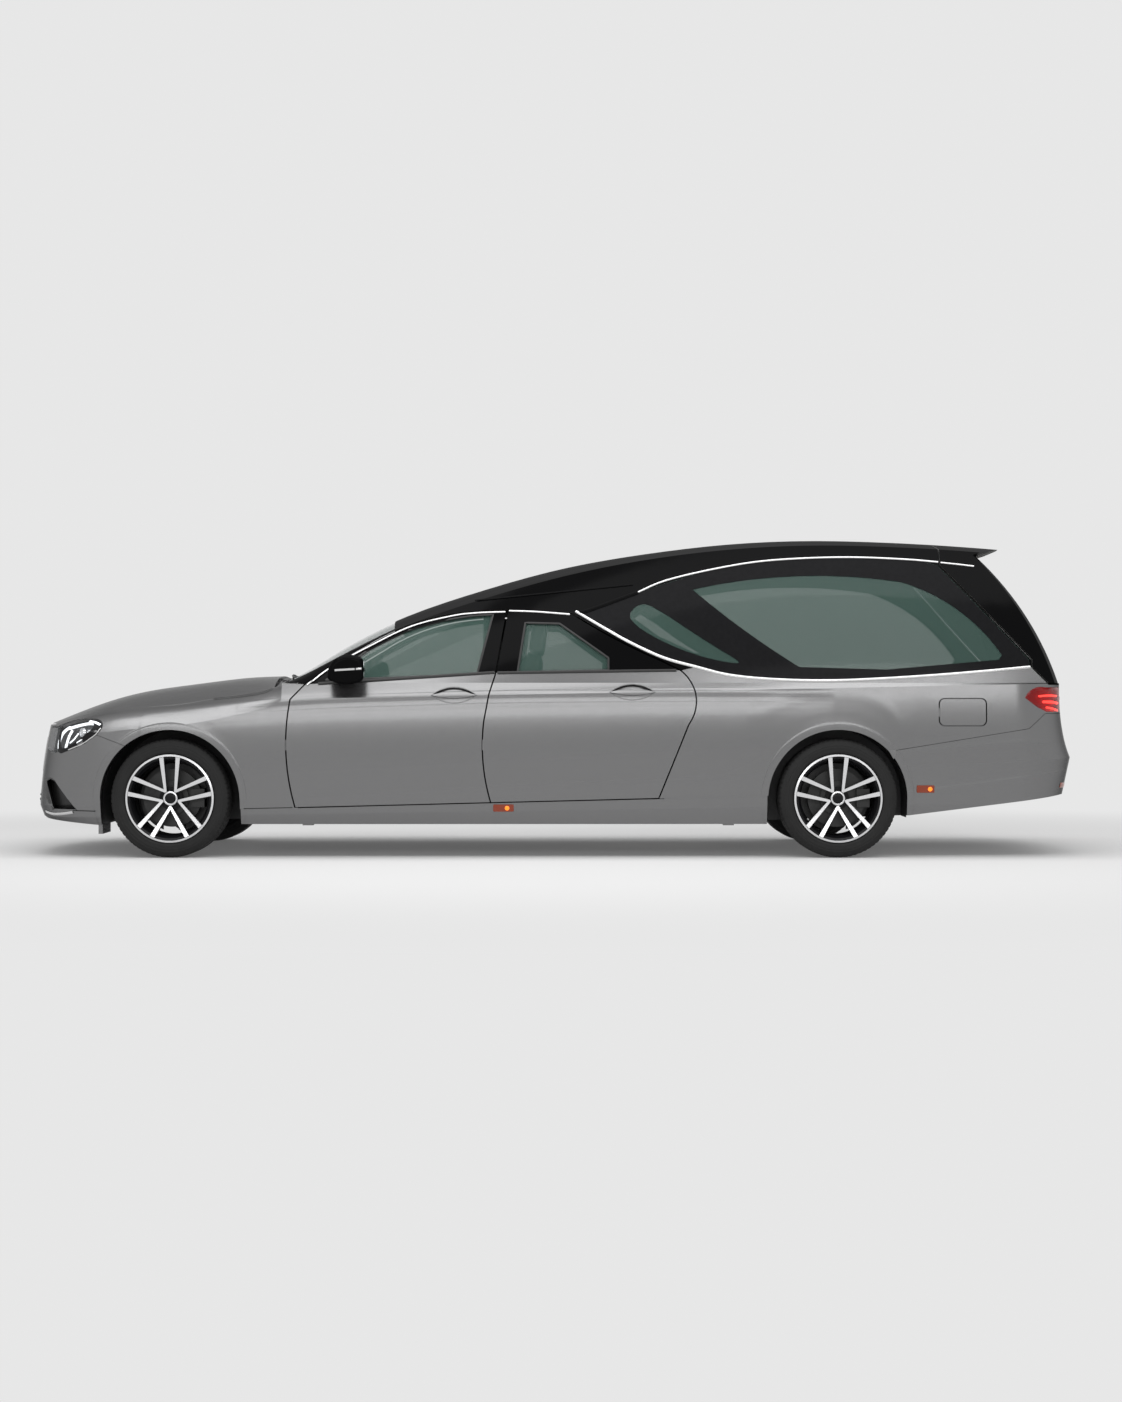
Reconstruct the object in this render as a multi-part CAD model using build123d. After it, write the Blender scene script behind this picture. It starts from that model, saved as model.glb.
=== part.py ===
from build123d import *
import math
import os

# Long saloon-based hearse. Millimetres; forward is -X, left is -Y, up is +Z, ground at z = 0.

FRONT_AXLE_X = -2174.0
REAR_AXLE_X = 1616.0
HALF_TRACK = 800.0
TYRE_R = 336.0
ARCH_R = 396.0
ARCH_Z = 330.0
SILL_BOTTOM_Z = 189.0
FLOOR_TOP_Z = 285.0
WALL = 80.0
FRAME = 40.0
GLASS = 6.0
BONNET_T = 28.0
MOVING_GAP = 8.0
FLAP_GAP = 7.0
EDGE_STEP = 14.0
PIN_SEAT = 0.3
FRONT_HINGE = (-1514.4, -926.0, 640.0)
REAR_HINGE = (-398.7, -930.0, 640.0)
BONNET_HINGE = (-1575.0, 1000.0)
TAILGATE_HINGE = (2225.0, 1827.0)
FLAP_HINGE = (2187.5, -912.5, 826.0)
KINGPIN_Y = 740.0
FIXED_GAP = 4.0
SEAT_GAP = 0.4
FAR = 1300.0

# Body waterlines, sill to bonnet level: height at each axle, nose and tail ends, half width.
WATERLINES = [
    {"z_front": 150, "z_rear": 150, "nose": -2940, "tail": 2960, "half": 846},
    {"z_front": 236, "z_rear": 292, "nose": -3030, "tail": 3000, "half": 884},
    {"z_front": 325, "z_rear": 500, "nose": -3054, "tail": 3054, "half": 905},
    {"z_front": 600, "z_rear": 700, "nose": -3024, "tail": 3008, "half": 930},
    {"z_front": 885, "z_rear": 963, "nose": -2960, "tail": 2992, "half": 916},
    {"z_front": 990, "z_rear": 1003, "nose": -2800, "tail": 2985, "half": 880},
    {"z_front": 1090, "z_rear": 1090, "nose": -2700, "tail": 2900, "half": 800},
]
NOSE_R, NOSE_CORNER_R = 2200.0, 430.0
TAIL_R, TAIL_CORNER_R = 3000.0, 330.0

# Bonnet crown stations: height on the centre line and drop at 720 mm from it.
CROWN = [
    {"x": -3120, "top": 690, "drop": 60},
    {"x": -2967, "top": 768, "drop": 62},
    {"x": -2780, "top": 846, "drop": 75},
    {"x": -2581, "top": 915, "drop": 90},
    {"x": -2298, "top": 972, "drop": 108},
    {"x": -1960, "top": 1016, "drop": 110},
    {"x": -1633, "top": 1038, "drop": 74},
    {"x": -1480, "top": 1062, "drop": 30},
]

# Greenhouse stations: crown height, roof shoulder point, belt half width, outward bow of the side.
GREENHOUSE = [
    {"x": -1620, "top": 1000, "y": 800, "z": 975, "belt": 846, "bow": 4},
    {"x": -1330, "top": 1166, "y": 716, "z": 1085, "belt": 872, "bow": 12},
    {"x": -908, "top": 1387, "y": 634, "z": 1300, "belt": 878, "bow": 20},
    {"x": -464, "top": 1542, "y": 610, "z": 1462, "belt": 880, "bow": 24},
    {"x": 38, "top": 1681, "y": 610, "z": 1606, "belt": 880, "bow": 30},
    {"x": 550, "top": 1772, "y": 620, "z": 1708, "belt": 879, "bow": 36},
    {"x": 1022, "top": 1827, "y": 632, "z": 1765, "belt": 878, "bow": 40},
    {"x": 1500, "top": 1849, "y": 638, "z": 1788, "belt": 876, "bow": 42},
    {"x": 1985, "top": 1839, "y": 636, "z": 1778, "belt": 870, "bow": 42},
    {"x": 2374, "top": 1818, "y": 626, "z": 1756, "belt": 858, "bow": 40},
    {"x": 2900, "top": 1776, "y": 596, "z": 1705, "belt": 800, "bow": 34},
    {"x": 3060, "top": 1762, "y": 585, "z": 1688, "belt": 770, "bow": 32},
]
BELT_Z = 960.0
TAIL_AXIS_X = 500.0

os.makedirs("parts", exist_ok=True)


def save(shape, node):
    export_step(shape, f"parts/{node}.step")


def box(x0, x1, y0, y1, z0, z1):
    return Pos((x0 + x1) / 2, (y0 + y1) / 2, (z0 + z1) / 2) * Box(x1 - x0, y1 - y0, z1 - z0)


def cyl_y(x, z, r, y0, y1):
    return Pos(x, (y0 + y1) / 2, z) * (Rot(90, 0, 0) * Cylinder(r, abs(y1 - y0)))


def tube_y(x, z, r_out, r_in, y0, y1):
    return cyl_y(x, z, r_out, y0, y1) - cyl_y(x, z, r_in, min(y0, y1) - 1, max(y0, y1) + 1)


def mirrored(shape):
    return shape.mirror(Plane.XZ)


def both(shape):
    return Compound(children=[*shape.solids(), *mirrored(shape).solids()])


def steps_wire(points, place):
    """Closed outline: a pair is a line to that point, a pair of pairs an arc through the first."""
    edges = []
    last = points[0]
    for step in list(points[1:]) + [points[0]]:
        if isinstance(step[0], tuple):
            edges.append(Edge.make_three_point_arc(place(*last), place(*step[0]), place(*step[1])))
            last = step[1]
        elif step != last:
            edges.append(Edge.make_line(place(*last), place(*step)))
            last = step
    return Wire(edges)


def side_prism(points, y0=-FAR, y1=-300.0, shrink=0.0):
    face = Face(steps_wire(points, lambda x, z: Vector(x, 0, z)))
    if shrink:
        face = offset(face, amount=-shrink, kind=Kind.INTERSECTION).face()
    return extrude(Pos(0, y0, 0) * face, amount=y1 - y0, dir=(0, 1, 0))


def plan_prism(points, z0, z1, shrink=0.0):
    face = Face(steps_wire(points, lambda x, y: Vector(x, y, 0)))
    if shrink:
        face = offset(face, amount=-shrink, kind=Kind.INTERSECTION).face()
    return extrude(Pos(0, 0, z0) * face, amount=z1 - z0, dir=(0, 0, 1))


def rounded(x, z, r):
    """Outline of a rectangle with round corners, for the side view."""
    (x0, x1), (z0, z1) = x, z
    k = r * (1 - math.sqrt(0.5))
    return [
        (x0 + r, z0),
        (x1 - r, z0), ((x1 - k, z0 + k), (x1, z0 + r)),
        (x1, z1 - r), ((x1 - k, z1 - k), (x1 - r, z1)),
        (x0 + r, z1), ((x0 + k, z1 - k), (x0, z1 - r)),
        (x0, z0 + r), ((x0 + k, z0 + k), (x0 + r, z0)),
    ]


def lens(x, z, half, rise):
    """Pointed oval outline, for the side view."""
    return [(x - half, z), ((x, z - rise), (x + half, z)), ((x, z + rise), (x - half, z))]


def plan_wire(row, inset):
    nose = row["nose"] + inset
    tail = row["tail"] - inset
    w_front = row["half"] - inset - 8
    w_mid = row["half"] - inset
    w_rear = row["half"] - inset - 24
    r_nose, r_front = NOSE_R - inset, NOSE_CORNER_R - inset
    r_tail, r_rear = TAIL_R - inset, TAIL_CORNER_R - inset
    slope = (row["z_rear"] - row["z_front"]) / (REAR_AXLE_X - FRONT_AXLE_X)

    def at(p):
        return Vector(p[0], p[1], row["z_front"] + slope * (p[0] - FRONT_AXLE_X))

    def arc(a, b, c):
        return Edge.make_three_point_arc(at(a), at(b), at(c))

    def far(p):
        return (p[0], -p[1])

    nose_c = nose + r_nose
    front_c = nose_c - math.sqrt((r_nose - r_front) ** 2 - (w_front - r_front) ** 2)
    turn_f = math.atan2(w_front - r_front, nose_c - front_c)
    nose_end = (nose_c - r_nose * math.cos(turn_f), r_nose * math.sin(turn_f))
    mid_f = (turn_f + math.pi / 2) / 2
    corner_f = (front_c - r_front * math.cos(mid_f), w_front - r_front + r_front * math.sin(mid_f))
    tail_c = tail - r_tail
    rear_c = tail_c + math.sqrt((r_tail - r_rear) ** 2 - (w_rear - r_rear) ** 2)
    turn_r = math.atan2(w_rear - r_rear, rear_c - tail_c)
    tail_end = (tail_c + r_tail * math.cos(turn_r), r_tail * math.sin(turn_r))
    mid_r = (turn_r + math.pi / 2) / 2
    corner_r = (rear_c + r_rear * math.cos(mid_r), w_rear - r_rear + r_rear * math.sin(mid_r))
    side_f, side_r, side_m = (front_c, w_front), (rear_c, w_rear), (-200, w_mid)
    return Wire([
        arc(far(nose_end), (nose, 0), nose_end),
        arc(nose_end, corner_f, side_f),
        arc(side_f, side_m, side_r),
        arc(side_r, corner_r, tail_end),
        arc(tail_end, (tail, 0), far(tail_end)),
        arc(far(tail_end), far(corner_r), far(side_r)),
        arc(far(side_r), far(side_m), far(side_f)),
        arc(far(side_f), far(corner_f), far(nose_end)),
    ])


def lower_body(inset=0.0):
    rows = [plan_wire(row, inset) for row in WATERLINES]
    low = Solid.make_loft(rows[0:3], True)
    middle = Solid.make_loft(rows[2:5], False)
    top = Solid.make_loft(rows[4:7], True)
    return low.fuse(middle, top)


def crown(lower=0.0):
    wires = []
    for row in CROWN:
        top, drop = row["top"] - lower, row["drop"]
        y_f = 760.0
        z_f = top - drop * (y_f / 720.0) ** 2
        y_e, z_e = 945.0, z_f - 150.0
        lean = math.atan2(2 * (top - z_f), y_f)
        out = Vector(0, math.cos(lean), -math.sin(lean))
        x = row["x"]
        right = Edge.make_tangent_arc(Vector(x, y_f, z_f), out, Vector(x, y_e, z_e))
        mid = right.position_at(0.5)
        wires.append(Wire([
            Edge.make_three_point_arc(Vector(x, -y_f, z_f), Vector(x, 0, top), Vector(x, y_f, z_f)),
            right,
            Edge.make_line(Vector(x, y_e, z_e), Vector(x, y_e, 60)),
            Edge.make_line(Vector(x, y_e, 60), Vector(x, -y_e, 60)),
            Edge.make_line(Vector(x, -y_e, 60), Vector(x, -y_e, z_e)),
            Edge.make_three_point_arc(
                Vector(x, -y_e, z_e), Vector(x, -mid.Y, mid.Z), Vector(x, -y_f, z_f)),
        ]))
    return Solid.make_loft(wires, False)


def greenhouse(inset=0.0):
    wires = []
    for row in GREENHOUSE:
        x, belt = row["x"], row["belt"] - inset
        y, z, top = row["y"] - inset, row["z"] - 0.8 * inset, row["top"] - inset
        chord = math.hypot(belt - y, z - BELT_Z)
        mid_y = (belt + y) / 2 + row["bow"] * (z - BELT_Z) / chord
        mid_z = (BELT_Z + z) / 2 + row["bow"] * (belt - y) / chord
        wires.append(Wire([
            Edge.make_line(Vector(x, belt, BELT_Z), Vector(x, -belt, BELT_Z)),
            Edge.make_three_point_arc(
                Vector(x, -belt, BELT_Z), Vector(x, -mid_y, mid_z), Vector(x, -y, z)),
            Edge.make_three_point_arc(Vector(x, -y, z), Vector(x, 0, top), Vector(x, y, z)),
            Edge.make_three_point_arc(Vector(x, y, z), Vector(x, mid_y, mid_z), Vector(x, belt, BELT_Z)),
        ]))
    cabin = Solid.make_loft(wires, False)
    barrel = Face(steps_wire([
        (0, 900), (2520 - inset, 900), (2494 - inset, 1002),
        ((2311 - inset, 1388), (2027 - inset, 1733 - 0.5 * inset)),
        (2150 - inset, 1784 - 0.5 * inset), (2158 - inset, 1900), (0, 1900),
    ], lambda r, z: Vector(TAIL_AXIS_X + r, 0, z)))
    barrel = revolve(barrel, Axis((TAIL_AXIS_X, 0, 0), (0, 0, 1)), 360)
    nose_part = box(-1700, 600, -FAR, FAR, 900, 1900)
    return cabin & (barrel + nose_part)


# Outlines in side view, as (x, z).
FRONT_DOOR = [
    (-1465, 283), (-355, 311), ((-399, 560), (-393, 776)), (-365, 926), (-328, 1048), (-266, 1414),
    ((-440, 1407), (-591, 1390)), ((-831, 1328), (-1078, 1206)), (-1280, 1090), (-1411, 983), (-1491, 898),
    ((-1514, 640), (-1465, 283)),
]
REAR_DOOR = [
    (-355, 311), (599, 335), (768, 757), ((806, 935), (726, 1062)), (615, 1118), ((350, 1246), (107, 1390)),
    (-262, 1414), (-327, 1048), (-365, 926), (-393, 776), ((-399, 560), (-355, 311)),
]
DOOR_TOPS = [
    (-1390, 960), (840, 960), (726, 1062), (615, 1118), ((350, 1246), (107, 1390)), (-262, 1414),
    ((-440, 1407), (-591, 1390)), ((-831, 1328), (-1078, 1206)), (-1280, 1090), (-1411, 983),
]
FRONT_PANE = [
    (-1290, 1012), (-437, 1045), (-352, 1384), ((-470, 1378), (-591, 1360)), ((-831, 1298), (-1078, 1172)),
]
REAR_PANE = [(-200, 1056), (311, 1066), (311, 1135), (36, 1329), (-158, 1335)]
SIDE_GLASS = [
    (160, 1393), ((437, 1223), (812, 1083)), ((1308, 1009), (1893, 1017)), (2478, 1060), (2716, 1084),
    (2716, 1126), (2212, 1669), (2120, 1697), ((1500, 1716), (877, 1639)), (488, 1515), (199, 1406),
]
CLEAR_FRONT = [(452, 1370), (560, 1450), ((760, 1300), (1086, 1108)), (800, 1166), (600, 1260)]
CLEAR_REAR = [
    (800, 1528), ((1420, 1606), (2000, 1570)), ((2130, 1520), (2560, 1150)), (2540, 1124),
    (1900, 1068), (1400, 1082), ((1080, 1300), (800, 1528)),
]
FRONT_BUMPER = [
    (-3150, 240), (-2990, 214), (-2600, 182), (-2380, 182), (-2421, 634), (-2583, 696), (-2860, 700),
    (-2860, 900), (-3150, 900),
]
WING = [
    (-2421, 634), (-2583, 696), (-2860, 700), (-2860, 1100), (-1541, 1100), (-1541, 992),
    (-1411, 983), (-1491, 898), ((-1514, 640), (-1465, 283)), (-1774, 274), (-2174, 500),
]
HEADLAMP = [
    (-2566, 760), (-2646, 787), ((-2750, 778), (-2845, 742)), (-2960, 730), (-2960, 622), (-2860, 592),
    ((-2740, 626), (-2624, 690)),
]
QUARTER = [
    (599, 335), (1216, 350), (1616, 500), (1936, 609), (2700, 733), (2800, 818), (3150, 818), (3150, 985),
    (2830, 985), (2729, 1084), (2478, 1060), (1893, 1017), ((1308, 1009), (812, 1083)), (726, 1062),
    ((806, 935), (768, 757)),
]
REAR_BUMPER = [
    (1936, 609), (2700, 733), (2800, 818), (3150, 818), (3150, 360), (2918, 349), (2023, 236), (1900, 236),
]
TAIL_LAMP = [
    (2676, 907), ((2725, 958), (2800, 967)), (3150, 967), (3150, 826), (2813, 826), (2749, 855),
]
TAILGATE = [
    (2225, 1950), (2225, 1669), (2733, 1126), (2729, 1084), (2830, 985), (3150, 985), (3150, 1950),
]
TAILGATE_HALF_LOW = 560.0
TAILGATE_LOW_Z = 772.0
FUEL_FLAP = {"x": (2184, 2459), "z": (745, 907), "r": 35}
HANDLES = {"front": (-562, 923), "rear": (449, 940)}
HANDLE_HALF, HANDLE_RISE, HANDLE_BAR = 122.0, 42.0, 17.0
SIDE_INTAKE = [(-2912, 430), (-2883, 444), (-2848, 430), (-2714, 272), (-2860, 272), (-2906, 406)]
FLARE_R, FLARE_RISE = 434.0, 5.0
BONNET_PLAN = [
    (-1600, -735), (-2000, -738), ((-2500, -712), (-2835, -610)), (-3150, -560), (-3150, 560), (-2835, 610),
    ((-2500, 712), (-2000, 738)), (-1600, 735), ((-1625, 0), (-1600, -735)),
]
SCREEN_PLAN = [(-1520, -706), ((-1580, 0), (-1520, 706)), (-920, 588), ((-945, 0), (-920, -588))]

outer = lower_body()
inner = lower_body(WALL)
cap = crown()
cap_low = crown(BONNET_T)
FRONT_SPLIT = -1541.0
BELT_TOP = 992.4
below_belt = box(-3200, 3200, -FAR, FAR, 0, BELT_TOP)
house = greenhouse() - below_belt
house_in = greenhouse(FRAME)
pane_shell = (greenhouse(8.0) - below_belt) - greenhouse(8.0 + GLASS)
skin_shell = house - greenhouse(GLASS)
upper_shell = house - house_in
nose_half = box(-3200, FRONT_SPLIT, -FAR, FAR, 0, 1300)
cabin_half = box(FRONT_SPLIT, 3200, -FAR, FAR, 0, BELT_TOP)
front_shell = (outer & nose_half & cap) - (inner & cap_low & box(-3200, FRONT_SPLIT, -FAR, FAR, 250, 1300))
tub = outer & cabin_half
rear_shell = tub - (inner & box(FRONT_SPLIT, 3200, -FAR, FAR, FLOOR_TOP_Z, 1300))
well_cut = []
for axle_x, inside in ((FRONT_AXLE_X, 470.0), (REAR_AXLE_X, 620.0)):
    for side in (-1, 1):
        span = sorted((side * inside, side * FAR))
        well_cut.append(cyl_y(axle_x, ARCH_Z, ARCH_R, *span))
        well_cut.append(box(axle_x - ARCH_R, axle_x + ARCH_R, *span, 0, ARCH_Z))

# Raised bands round the wheel arches.
band_shell = lower_body(-FLARE_RISE) - lower_body(FLARE_RISE)
flares = {}
for end, axle_x in (("front", FRONT_AXLE_X), ("rear", REAR_AXLE_X)):
    ring = tube_y(axle_x, ARCH_Z, FLARE_R, ARCH_R, -FAR, -600) - box(-3200, 3200, -FAR, FAR, 0, ARCH_Z)
    flares[end] = band_shell & ring

# Doors: one wall thick below the belt, framed above it, with a pane in each window.
def hinge_pin(axis, r, height, leaf):
    """Upright pin on a door's hinge axis, flush with the skin, with a leaf to the door's edge."""
    x, y, z = axis
    pin = (Pos(x, y, z) * Cylinder(r, height)) & outer
    return pin + box(x, x + leaf, y + 0.4, y + 2.4, z - height / 2, z + height / 2)


doors = {}
hinges = {"front": hinge_pin(FRONT_HINGE, 2.8, 60.0, 12.0), "rear": hinge_pin(REAR_HINGE, 3.0, 60.0, 12.0)}
skin_low = lower_body(25.0)
skin_high = greenhouse(14.0)
pocket_floor = lower_body(14.0)
bar_shell = lower_body(-9.0) - lower_body(3.0)
for end, door_line, pane_line in (("front", FRONT_DOOR, FRONT_PANE), ("rear", REAR_DOOR, REAR_PANE)):
    cut = side_prism(door_line, shrink=MOVING_GAP / 2)
    step = cut - side_prism(door_line, shrink=MOVING_GAP / 2 + EDGE_STEP)
    door = (rear_shell & cut) - (step & skin_low)
    door = door + ((upper_shell & cut) - (step & skin_high)) - side_prism(pane_line) + hinges[end]
    door = door - (side_prism(lens(*HANDLES[end], HANDLE_HALF, HANDLE_RISE)) - pocket_floor)
    door = door + (bar_shell & side_prism(lens(*HANDLES[end], HANDLE_HALF + 8, HANDLE_BAR)))
    pane = pane_shell & side_prism(pane_line, shrink=SEAT_GAP)
    doors[end] = side_prism(door_line, shrink=-MOVING_GAP / 2)
    save(door, f"{end}_door_left")
    save(pane, f"{end}_glass_left")
    save(mirrored(door), f"{end}_door_right")
    save(mirrored(pane), f"{end}_glass_right")

# Bonnet, wings and front bumper, with the lamps let into the corners.
bonnet_cut = plan_prism(BONNET_PLAN, 750, 1300, shrink=-MOVING_GAP)
bonnet = front_shell & plan_prism(BONNET_PLAN, 758, 1300)
hinge_x, hinge_z = BONNET_HINGE
for side in (-1, 1):
    arm_line = [(-1690, 985), (-1690, 968), (-1600, 962), (hinge_x + 10, 990), (hinge_x + 10, hinge_z + 10),
                (hinge_x - 12, hinge_z + 10), (-1625, 980)]
    arm = side_prism(arm_line, *sorted((side * 452, side * 462)))
    bonnet += arm - cyl_y(hinge_x, hinge_z, 5 + PIN_SEAT, side * 440, side * 480)
save(bonnet, "bonnet")
lamp_block = side_prism(HEADLAMP, y1=-650.0)
lamp = (front_shell & side_prism(HEADLAMP, y1=-650.0, shrink=SEAT_GAP)) - bonnet_cut
save(both(lamp), "headlamps")
wing_cut = side_prism(WING, shrink=SEAT_GAP) - box(-1640, FRONT_SPLIT, -744, 0, 600, 1300)
wing = ((front_shell & wing_cut) + (flares["front"] & wing_cut)) - bonnet_cut - lamp_block - well_cut
wing_foot = box(FRONT_SPLIT - 1, -1400, -815, 0, 0, FLOOR_TOP_Z + 4)
wing = wing + ((rear_shell & wing_cut) - doors["front"] - wing_foot)
save(both(wing), "front_wings")
GRILLE_HALF, GRILLE_Z = 400.0, (470.0, 712.0)
INTAKE_HALF, INTAKE_Z = 560.0, (262.0, 372.0)
bumper_cut = side_prism(FRONT_BUMPER, y1=FAR, shrink=FIXED_GAP / 2)
front_flare = flares["front"] & bumper_cut
front_bumper = (front_shell & bumper_cut) + front_flare + mirrored(front_flare)
front_bumper = front_bumper - bonnet_cut - lamp_block - mirrored(lamp_block) - well_cut
front_bumper -= box(-3200, -2700, -GRILLE_HALF, GRILLE_HALF, *GRILLE_Z)
front_bumper -= box(-3200, -2700, -INTAKE_HALF, INTAKE_HALF, *INTAKE_Z)
intake = side_prism(SIDE_INTAKE) - lower_body(40.0)
front_bumper = front_bumper - intake - mirrored(intake)
for side in (-1, 1):
    front_bumper += box(-2598, -2574, *sorted((side * 560, side * 800)), 130, 200)
save(front_bumper, "front_bumper")

# Rear corner panels, lamps and bumper.
tail_block = side_prism(TAIL_LAMP, y1=-TAILGATE_HALF_LOW)
tail_lamp = rear_shell & side_prism(TAIL_LAMP, y1=-TAILGATE_HALF_LOW - MOVING_GAP, shrink=SEAT_GAP)
save(both(tail_lamp), "tail_lamps")
gate_side = side_prism(TAILGATE, y0=-FAR, y1=FAR, shrink=-MOVING_GAP / 2)
gate_low = box(2600, 3200, -TAILGATE_HALF_LOW, TAILGATE_HALF_LOW, TAILGATE_LOW_Z, 1300)
gate_low_cut = box(2600, 3200, -TAILGATE_HALF_LOW - MOVING_GAP, TAILGATE_HALF_LOW + MOVING_GAP,
                   TAILGATE_LOW_Z - MOVING_GAP, 1300)
gate_cut = [gate_side, gate_low_cut]
quarter_cut = side_prism(QUARTER, shrink=SEAT_GAP)
quarter = (rear_shell & quarter_cut) + (upper_shell & quarter_cut) + (flares["rear"] & quarter_cut)
quarter = quarter - doors["rear"] - tail_block - gate_cut - well_cut
flap_line = rounded(FUEL_FLAP["x"], FUEL_FLAP["z"], FUEL_FLAP["r"])
flap_hole = side_prism(flap_line, y1=-868.0)
flap = rear_shell & side_prism(flap_line, y1=-893.0, shrink=FLAP_GAP)
flap += hinge_pin(FLAP_HINGE, 3.2, 50.0, 8.0)
save(flap, "fuel_flap")
save(Compound(children=[*(quarter - flap_hole).solids(), *mirrored(quarter).solids()]), "quarter_panels")
rear_cut = side_prism(REAR_BUMPER, y1=FAR, shrink=FIXED_GAP / 2)
rear_flare = flares["rear"] & rear_cut
rear_bumper = ((rear_shell & rear_cut) + rear_flare + mirrored(rear_flare)) - well_cut - gate_cut
save(rear_bumper, "rear_bumper")

# Tailgate with its wide rear window.
gate = (upper_shell & side_prism(TAILGATE, y0=-FAR, y1=FAR, shrink=MOVING_GAP / 2))
gate = gate + (rear_shell & gate_low)
gate_x, gate_z = TAILGATE_HINGE
gate += cyl_y(gate_x, gate_z, 4 - PIN_SEAT, -60, 60) & house
gate += box(gate_x, gate_x + 12, -60, 60, gate_z - 4, gate_z - 1)
GATE_PANE_HALF = 520.0
gate_window = box(2400, 3200, -GATE_PANE_HALF, GATE_PANE_HALF, 1085, 1640)
gate_window_fit = box(2400, 3200, -GATE_PANE_HALF + SEAT_GAP, GATE_PANE_HALF - SEAT_GAP,
                      1085 + SEAT_GAP, 1640 - SEAT_GAP)
save(gate - gate_window, "tailgate")
save(pane_shell & gate_window_fit, "tailgate_glass")

# Roof with the screen pillars, the bonded side windows and the frames behind them.
screen = plan_prism(SCREEN_PLAN, 900, 1700)
glass_hole = side_prism(SIDE_GLASS, shrink=-SEAT_GAP)
roof = upper_shell - glass_hole - mirrored(glass_hole)
door_tops = side_prism(DOOR_TOPS, shrink=-MOVING_GAP / 2)
roof = roof - door_tops - mirrored(door_tops) - [gate_side] - screen
roof = roof - side_prism(QUARTER) - mirrored(side_prism(QUARTER))
roof = roof - box(-1700, FRONT_SPLIT + SEAT_GAP, -FAR, FAR, 0, 1300)
save(roof, "roof")
save(pane_shell & plan_prism(SCREEN_PLAN, 900, 1700, shrink=SEAT_GAP), "windscreen")
glass = (skin_shell & side_prism(SIDE_GLASS)) - gate_cut
save(both(glass), "side_glass")
frame_shell = (greenhouse(GLASS + SEAT_GAP) - below_belt) - house_in
frame = (frame_shell & side_prism(SIDE_GLASS)) - gate_cut
frame = frame - side_prism(CLEAR_FRONT) - side_prism(CLEAR_REAR)
save(both(frame), "side_frames")

# Grille and lower intake: slatted plates in the bumper openings.
plate = outer - lower_body(26.0)
grille_parts = []
for half, (low_z, high_z), pitch in ((GRILLE_HALF, GRILLE_Z, 44.0), (INTAKE_HALF, INTAKE_Z, 36.0)):
    panel = plate & box(-3200, -2700, -half + SEAT_GAP, half - SEAT_GAP, low_z + SEAT_GAP, high_z - SEAT_GAP)
    z = low_z + 20
    while z + pitch * 0.55 < high_z - 14:
        panel -= box(-3200, -2700, -half + 18, -14, z, z + pitch * 0.55)
        panel -= box(-3200, -2700, 14, half - 18, z, z + pitch * 0.55)
        z += pitch
    grille_parts += panel.solids()
save(Compound(children=grille_parts), "grille")

# Floor with sills, firewall, front rails, rear floor, wheel houses and door pillars.
SILL = [
    (-1774, SILL_BOTTOM_Z), (1216, SILL_BOTTOM_Z), (1216, 350), (630, 335.8), (630, 332.5), (-355, 308.4),
    (-1450, 280.5), (-1450, 283.4), (-1774, 274),
]
floor = (outer & side_prism(SILL, y1=FAR)) - (inner & box(-1480, 3200, -FAR, FAR, FLOOR_TOP_Z, 1300))
floor = floor - well_cut
floor += box(-1480, -1430, -780, 780, 250, 935)
floor += box(-1590, -1430, -700, 700, 915, 935)
floor += box(1180, 1230, -600, 600, SILL_BOTTOM_Z, 480)
floor += box(1200, 2800, -600, 600, 440, 480)
floor += box(1950, 2450, -420, 420, FLOOR_TOP_Z + SEAT_GAP, 460)
for side in (-1, 1):
    floor += box(-2790, -1470, *sorted((side * 330, side * 390)), 250.4, 400)
    house_out = tube_y(REAR_AXLE_X, ARCH_Z, 426, 401, side * 600, side * 765)
    house_out += cyl_y(REAR_AXLE_X, ARCH_Z, 426, side * 600, side * 616)
    floor += house_out - box(1000, 2300, -FAR, FAR, -200, 300)
    pillar = steps_wire(
        [(772, 270), (786, 420), (804, 650), (800, 930), (786, 1005), (586, 1396), (546, 1396), (728, 1000),
         (742, 930), (742, 270)], lambda y, z: Vector(-405, side * y, z))
    floor += extrude(Face(pillar), amount=105, dir=(1, 0, 0))
    bracket_x, bracket_y, bracket_z = REAR_HINGE
    floor += box(bracket_x - 1.2, bracket_x + 1.2, *sorted((side * 790, side * (-bracket_y - 3.3))),
                 bracket_z - 30, bracket_z + 30)
    lug = steps_wire([(-1590, 930), (-1562, 930), (hinge_x + 10, hinge_z + 10), (hinge_x - 10, hinge_z + 10)],
                     lambda x, z: Vector(x, side * 463, z))
    floor += extrude(Face(lug), amount=12, dir=(0, side, 0))
    floor += cyl_y(hinge_x, hinge_z, 5, side * 452, side * 470)
    for jack_x in (-1400, 1000):
        floor += box(jack_x - 30, jack_x + 30, *sorted((side * 760, side * 820)), 180, 195)
floor += box(-2790, -2740, -400, 400, 330, 400)
floor -= cyl_y(REAR_AXLE_X, TYRE_R, 80, -FAR, FAR) & box(1000, 2300, -FAR, FAR, 0, 439)
TUNNEL_Z = 262.0
floor -= box(-1800, 1179, 100, 362, 100, TUNNEL_Z)
save(floor, "floor_pan")

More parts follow.
